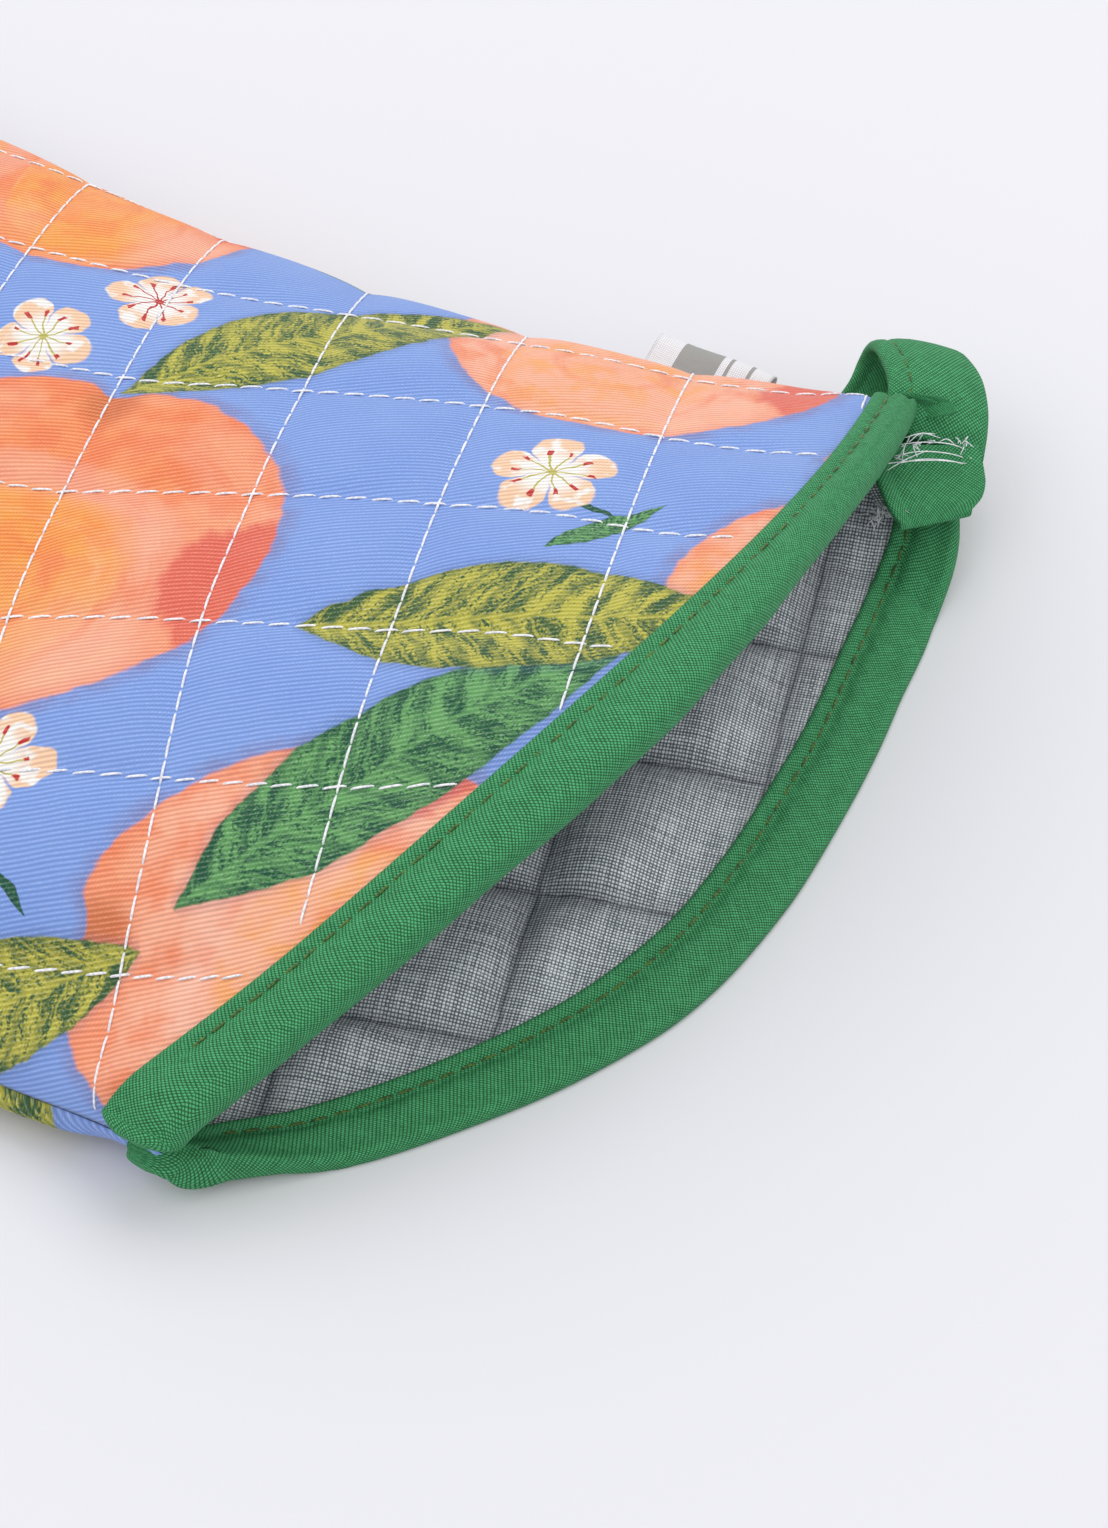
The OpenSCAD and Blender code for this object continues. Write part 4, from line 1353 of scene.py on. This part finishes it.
# The raw end of the lining curls out beside the tape's sewn end.
CURL_LEFT = [
    (67.2, -16.8, 15.6), (64.8, -19.4, 14.6), (63.0, -22.0, 13.6), (62.2, -23.8, 13.6), (62.6, -24.2, 14.8),
]
CURL_RIGHT = [
    (68.4, -18.6, 15.4), (66.2, -21.2, 14.6), (64.2, -23.8, 13.6), (63.2, -25.4, 13.8), (63.4, -25.0, 15.2),
]
rings, _ = tape_rings(CURL_LEFT, CURL_RIGHT, 0.3, 20)
curl = sweep_solid("lining_raw_end", rings, LINING, tape_uv(rings))
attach(curl, "palm")
fuzz = []
for _ in range(40):
    base = np.array([62.4, -23.4, 13.2]) + rng.normal(0, 1, 3) * (0.9, 0.9, 0.6)
    fuzz.append([base, base + rng.normal(0, 0.5, 3), base + rng.normal(0, 1.0, 3)])
fuzz = strands("lining_end_fibres", fuzz, 0.07, WHITE)
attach(fuzz, "palm")


# ---- side label
LABEL_Y = (3.5, 22.5)
LABEL_BEND = [(72.5, 9.6), (75.4, 9.9), (77.6, 10.6), (79.4, 11.1), (80.8, 11.0), (81.6, 10.2), (81.2, 9.3),
              (79.8, 8.9), (78.0, 8.7), (75.6, 8.7), (72.8, 8.9)]


def label_piece():
    """A strip folded in half, its fold standing out of the side seam."""
    line = spline([(x, 0, z) for x, z in LABEL_BEND], 60)
    along = np.gradient(line, axis=0)
    up = np.cross(along, (0, 1, 0))
    up /= np.linalg.norm(up, axis=1, keepdims=True)
    ys = np.linspace(*LABEL_Y, 28)
    sag = 0.25 * np.sin((ys - ys[0]) * 0.33)[None]
    grids = []
    for side in (0.17, -0.17):
        g = line[:, None] + up[:, None] * side + np.zeros((1, len(ys), 1))
        g[..., 1] = ys
        g[..., 2] += sag * smooth((line[:, 0] - 75) / 6)[:, None]
        grids.append(g)
    run = np.concatenate([[0], np.cumsum(np.linalg.norm(np.diff(line, axis=0), axis=1))]) / 10
    uv = np.stack(np.meshgrid((ys - ys[0]) / 10, run), axis=-1)
    return grid_solid("woven_label", grids[0], grids[1], uv, LABEL)


label = label_piece()
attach(label, "label")
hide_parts("side_label")


# ---- overlocked seam allowances
def allowance(name, edge, body, *nodes, depth=4.4):
    """A flat strip of raw edges inside the seam. edge is its outer line and the ways inwards."""
    outer, inwards = edge
    inwards = inwards / np.linalg.norm(inwards, axis=1, keepdims=True)
    shares = np.linspace(0, 1, 5)
    top = outer[:, None] + inwards[:, None] * (depth * shares)[None, :, None]
    run = np.arange(len(outer))
    top[..., 2] += 0.06 * np.sin(run * 1.9)[:, None] * shares[None]
    thick = np.array([0, 0, 0.2])
    uv = np.stack(np.meshgrid(shares * depth / 10, run * 0.15), axis=-1)
    strip = grid_solid(name, top + thick, top - thick, uv, EDGING)
    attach(strip, body)
    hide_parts(*nodes)


def side_edge(t, y0, y1):
    """The seam of one side of the hand, as allowance() takes it."""
    y = np.arange(y0, y1, 1.5)
    tt = np.full_like(y, float(t))
    x = seam_x(tt, y) - t * 0.8
    return np.stack([x, y, seam_z(tt, y)], axis=-1), np.stack([-t + 0 * y, 0 * y, 0 * y], axis=-1)


def tip_edge():
    """The seam round the fingers."""
    k = np.linspace(-1, 1, 90)
    t = np.sin(k * math.pi / 2)
    y = tip_line(t) - 0.9 * np.sqrt(1 - t * t)
    x = seam_x(t, y) - t * 0.9
    left, right = side_edge(-1, 176, 223), side_edge(1, 176, 223)
    arc = np.stack([x, y, seam_z(t, y)], axis=-1)
    arc_in = np.stack([-t, -np.sqrt(1 - t * t), 0 * t], axis=-1)
    outer = np.concatenate([left[0], arc, right[0][::-1]])
    return outer, np.concatenate([left[1], arc_in, right[1][::-1]])


def thumb_edge():
    """The seam round the thumb, open at its base."""
    q = np.linspace(0.08, 0.93, 50)
    ends = [np.stack([*thumb_plan(p, q), 0 * q + THUMB_Z], axis=-1) for p in (0.0, 1.0)]
    p = np.linspace(0, 1, 14)[1:-1]
    tip = np.stack([*thumb_plan(p, 1.0 + 0 * p), 0 * p + THUMB_Z], axis=-1)
    outer = np.concatenate([ends[0], tip, ends[1][::-1]])
    middle = np.stack([*thumb_plan(0.5, np.minimum(q, 0.84)), 0 * q + THUMB_Z], axis=-1)
    tip_middle = np.array([*thumb_plan(0.5, 0.84), THUMB_Z])
    inwards = np.concatenate([middle - ends[0], tip_middle - tip, (middle - ends[1])[::-1]])
    unit = inwards / np.linalg.norm(inwards, axis=1, keepdims=True)
    return outer + unit * 0.8, inwards


allowance("far_seam_allowance", side_edge(1, -8, 152), "palm", "seam_far")
allowance("near_seam_allowance", side_edge(-1, 20, 62), "palm", "seam_near")
allowance("crotch_seam_allowance", side_edge(-1, 153, 165), "palm", "seam_crotch")
allowance("fingers_seam_allowance", tip_edge(), "fingers", "seam_fingers")
allowance("thumb_seam_allowance", thumb_edge(), "thumb", "seam_thumb", depth=3.4)


# ---- quilting on the thumb
def on_grid(grid, flat, target):
    """The point and normal of a grid at a place on its flat cloth, or None outside it."""
    far = np.linalg.norm(flat - target, axis=2)
    i, j = np.unravel_index(np.argmin(far), far.shape)
    if far[i, j] > 0.16 or not (0 < i < far.shape[0] - 2 and 2 < j < far.shape[1] - 3):
        return None
    du, dv = flat[i, j + 1] - flat[i, j], flat[i + 1, j] - flat[i, j]
    k = np.linalg.lstsq(np.stack([du, dv], axis=1), target - flat[i, j], rcond=None)[0]
    pu, pv = grid[i, j + 1] - grid[i, j], grid[i + 1, j] - grid[i, j]
    n = np.cross(pu, pv)
    return grid[i, j] + pu * k[0] + pv * k[1], n / np.linalg.norm(n)


def thumb_stitches(s):
    """As quilt_stitches, on the thumb, away from where its cloth turns steeply down."""
    outer, _, _, _, flat, _ = thumb_of[s]
    ends, ups = [], []
    for pair in stitch_places():
        got = [on_grid(outer, flat, np.array(place) * QUILT / 10) for place in pair]
        if None in got or abs(got[0][1][2]) < 0.25:
            continue
        ends.append([point for point, _ in got])
        ups.append(got[0][1] * np.sign(got[0][1][2]) * s)
    return ends, ups


for s in (1, -1):
    ends, ups = thumb_stitches(s)
    threads = stitch_set(SIDE[s] + "_thumb_quilting_thread", ends, ups, material=WHITE, **QUILT_THREAD)
    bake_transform(threads)


# ---- floor, light and camera
def plane(name, size, material):
    mesh = bpy.data.meshes.new(name)
    mesh.from_pydata([(-size, -size, 0), (size, -size, 0), (size, size, 0), (-size, size, 0)], [],
                     [(0, 1, 2, 3)])
    obj = bpy.data.objects.new(name, mesh)
    bpy.context.scene.collection.objects.link(obj)
    mesh.materials.append(material)
    return obj


floor = plane("floor", 6, FLOOR)


def area_light(name, place, target, size, power):
    data = bpy.data.lights.new(name, "AREA")
    data.shape = "DISK"
    data.size = size
    data.energy = power
    obj = bpy.data.objects.new(name, data)
    bpy.context.scene.collection.objects.link(obj)
    obj.location = place
    direction = np.array(target) - np.array(place)
    obj.rotation_euler = mathutils.Vector(direction).to_track_quat("-Z", "Y").to_euler()
    return obj


area_light("key", (1.0, 0.05, 1.8), (0, 0.05, 0), 1.5, 13.5)
area_light("fill", (-1.3, 1.2, 1.8), (0, 0.05, 0), 2.6, 11)
world = bpy.data.worlds.new("studio")
world.use_nodes = True
world.node_tree.nodes["Background"].inputs["Color"].default_value = (0.965, 0.965, 1, 1)
world.node_tree.nodes["Background"].inputs["Strength"].default_value = 0.87
bpy.context.scene.world = world
bpy.context.scene.view_settings.view_transform = "Standard"

camera_data = bpy.data.cameras.new("camera")
camera = bpy.data.objects.new("camera", camera_data)
bpy.context.scene.collection.objects.link(camera)
camera_data.sensor_fit = "VERTICAL"
camera_data.sensor_height = 36
camera_data.lens = 82.46
camera_data.clip_start = 0.01
camera.location = (-0.2614, -0.1564, 0.3707)
camera.rotation_euler = mathutils.Vector((0.5567, 0.3214, -0.766)).to_track_quat("-Z", "Y").to_euler()
bpy.context.scene.camera = camera

bpy.context.view_layer.update()
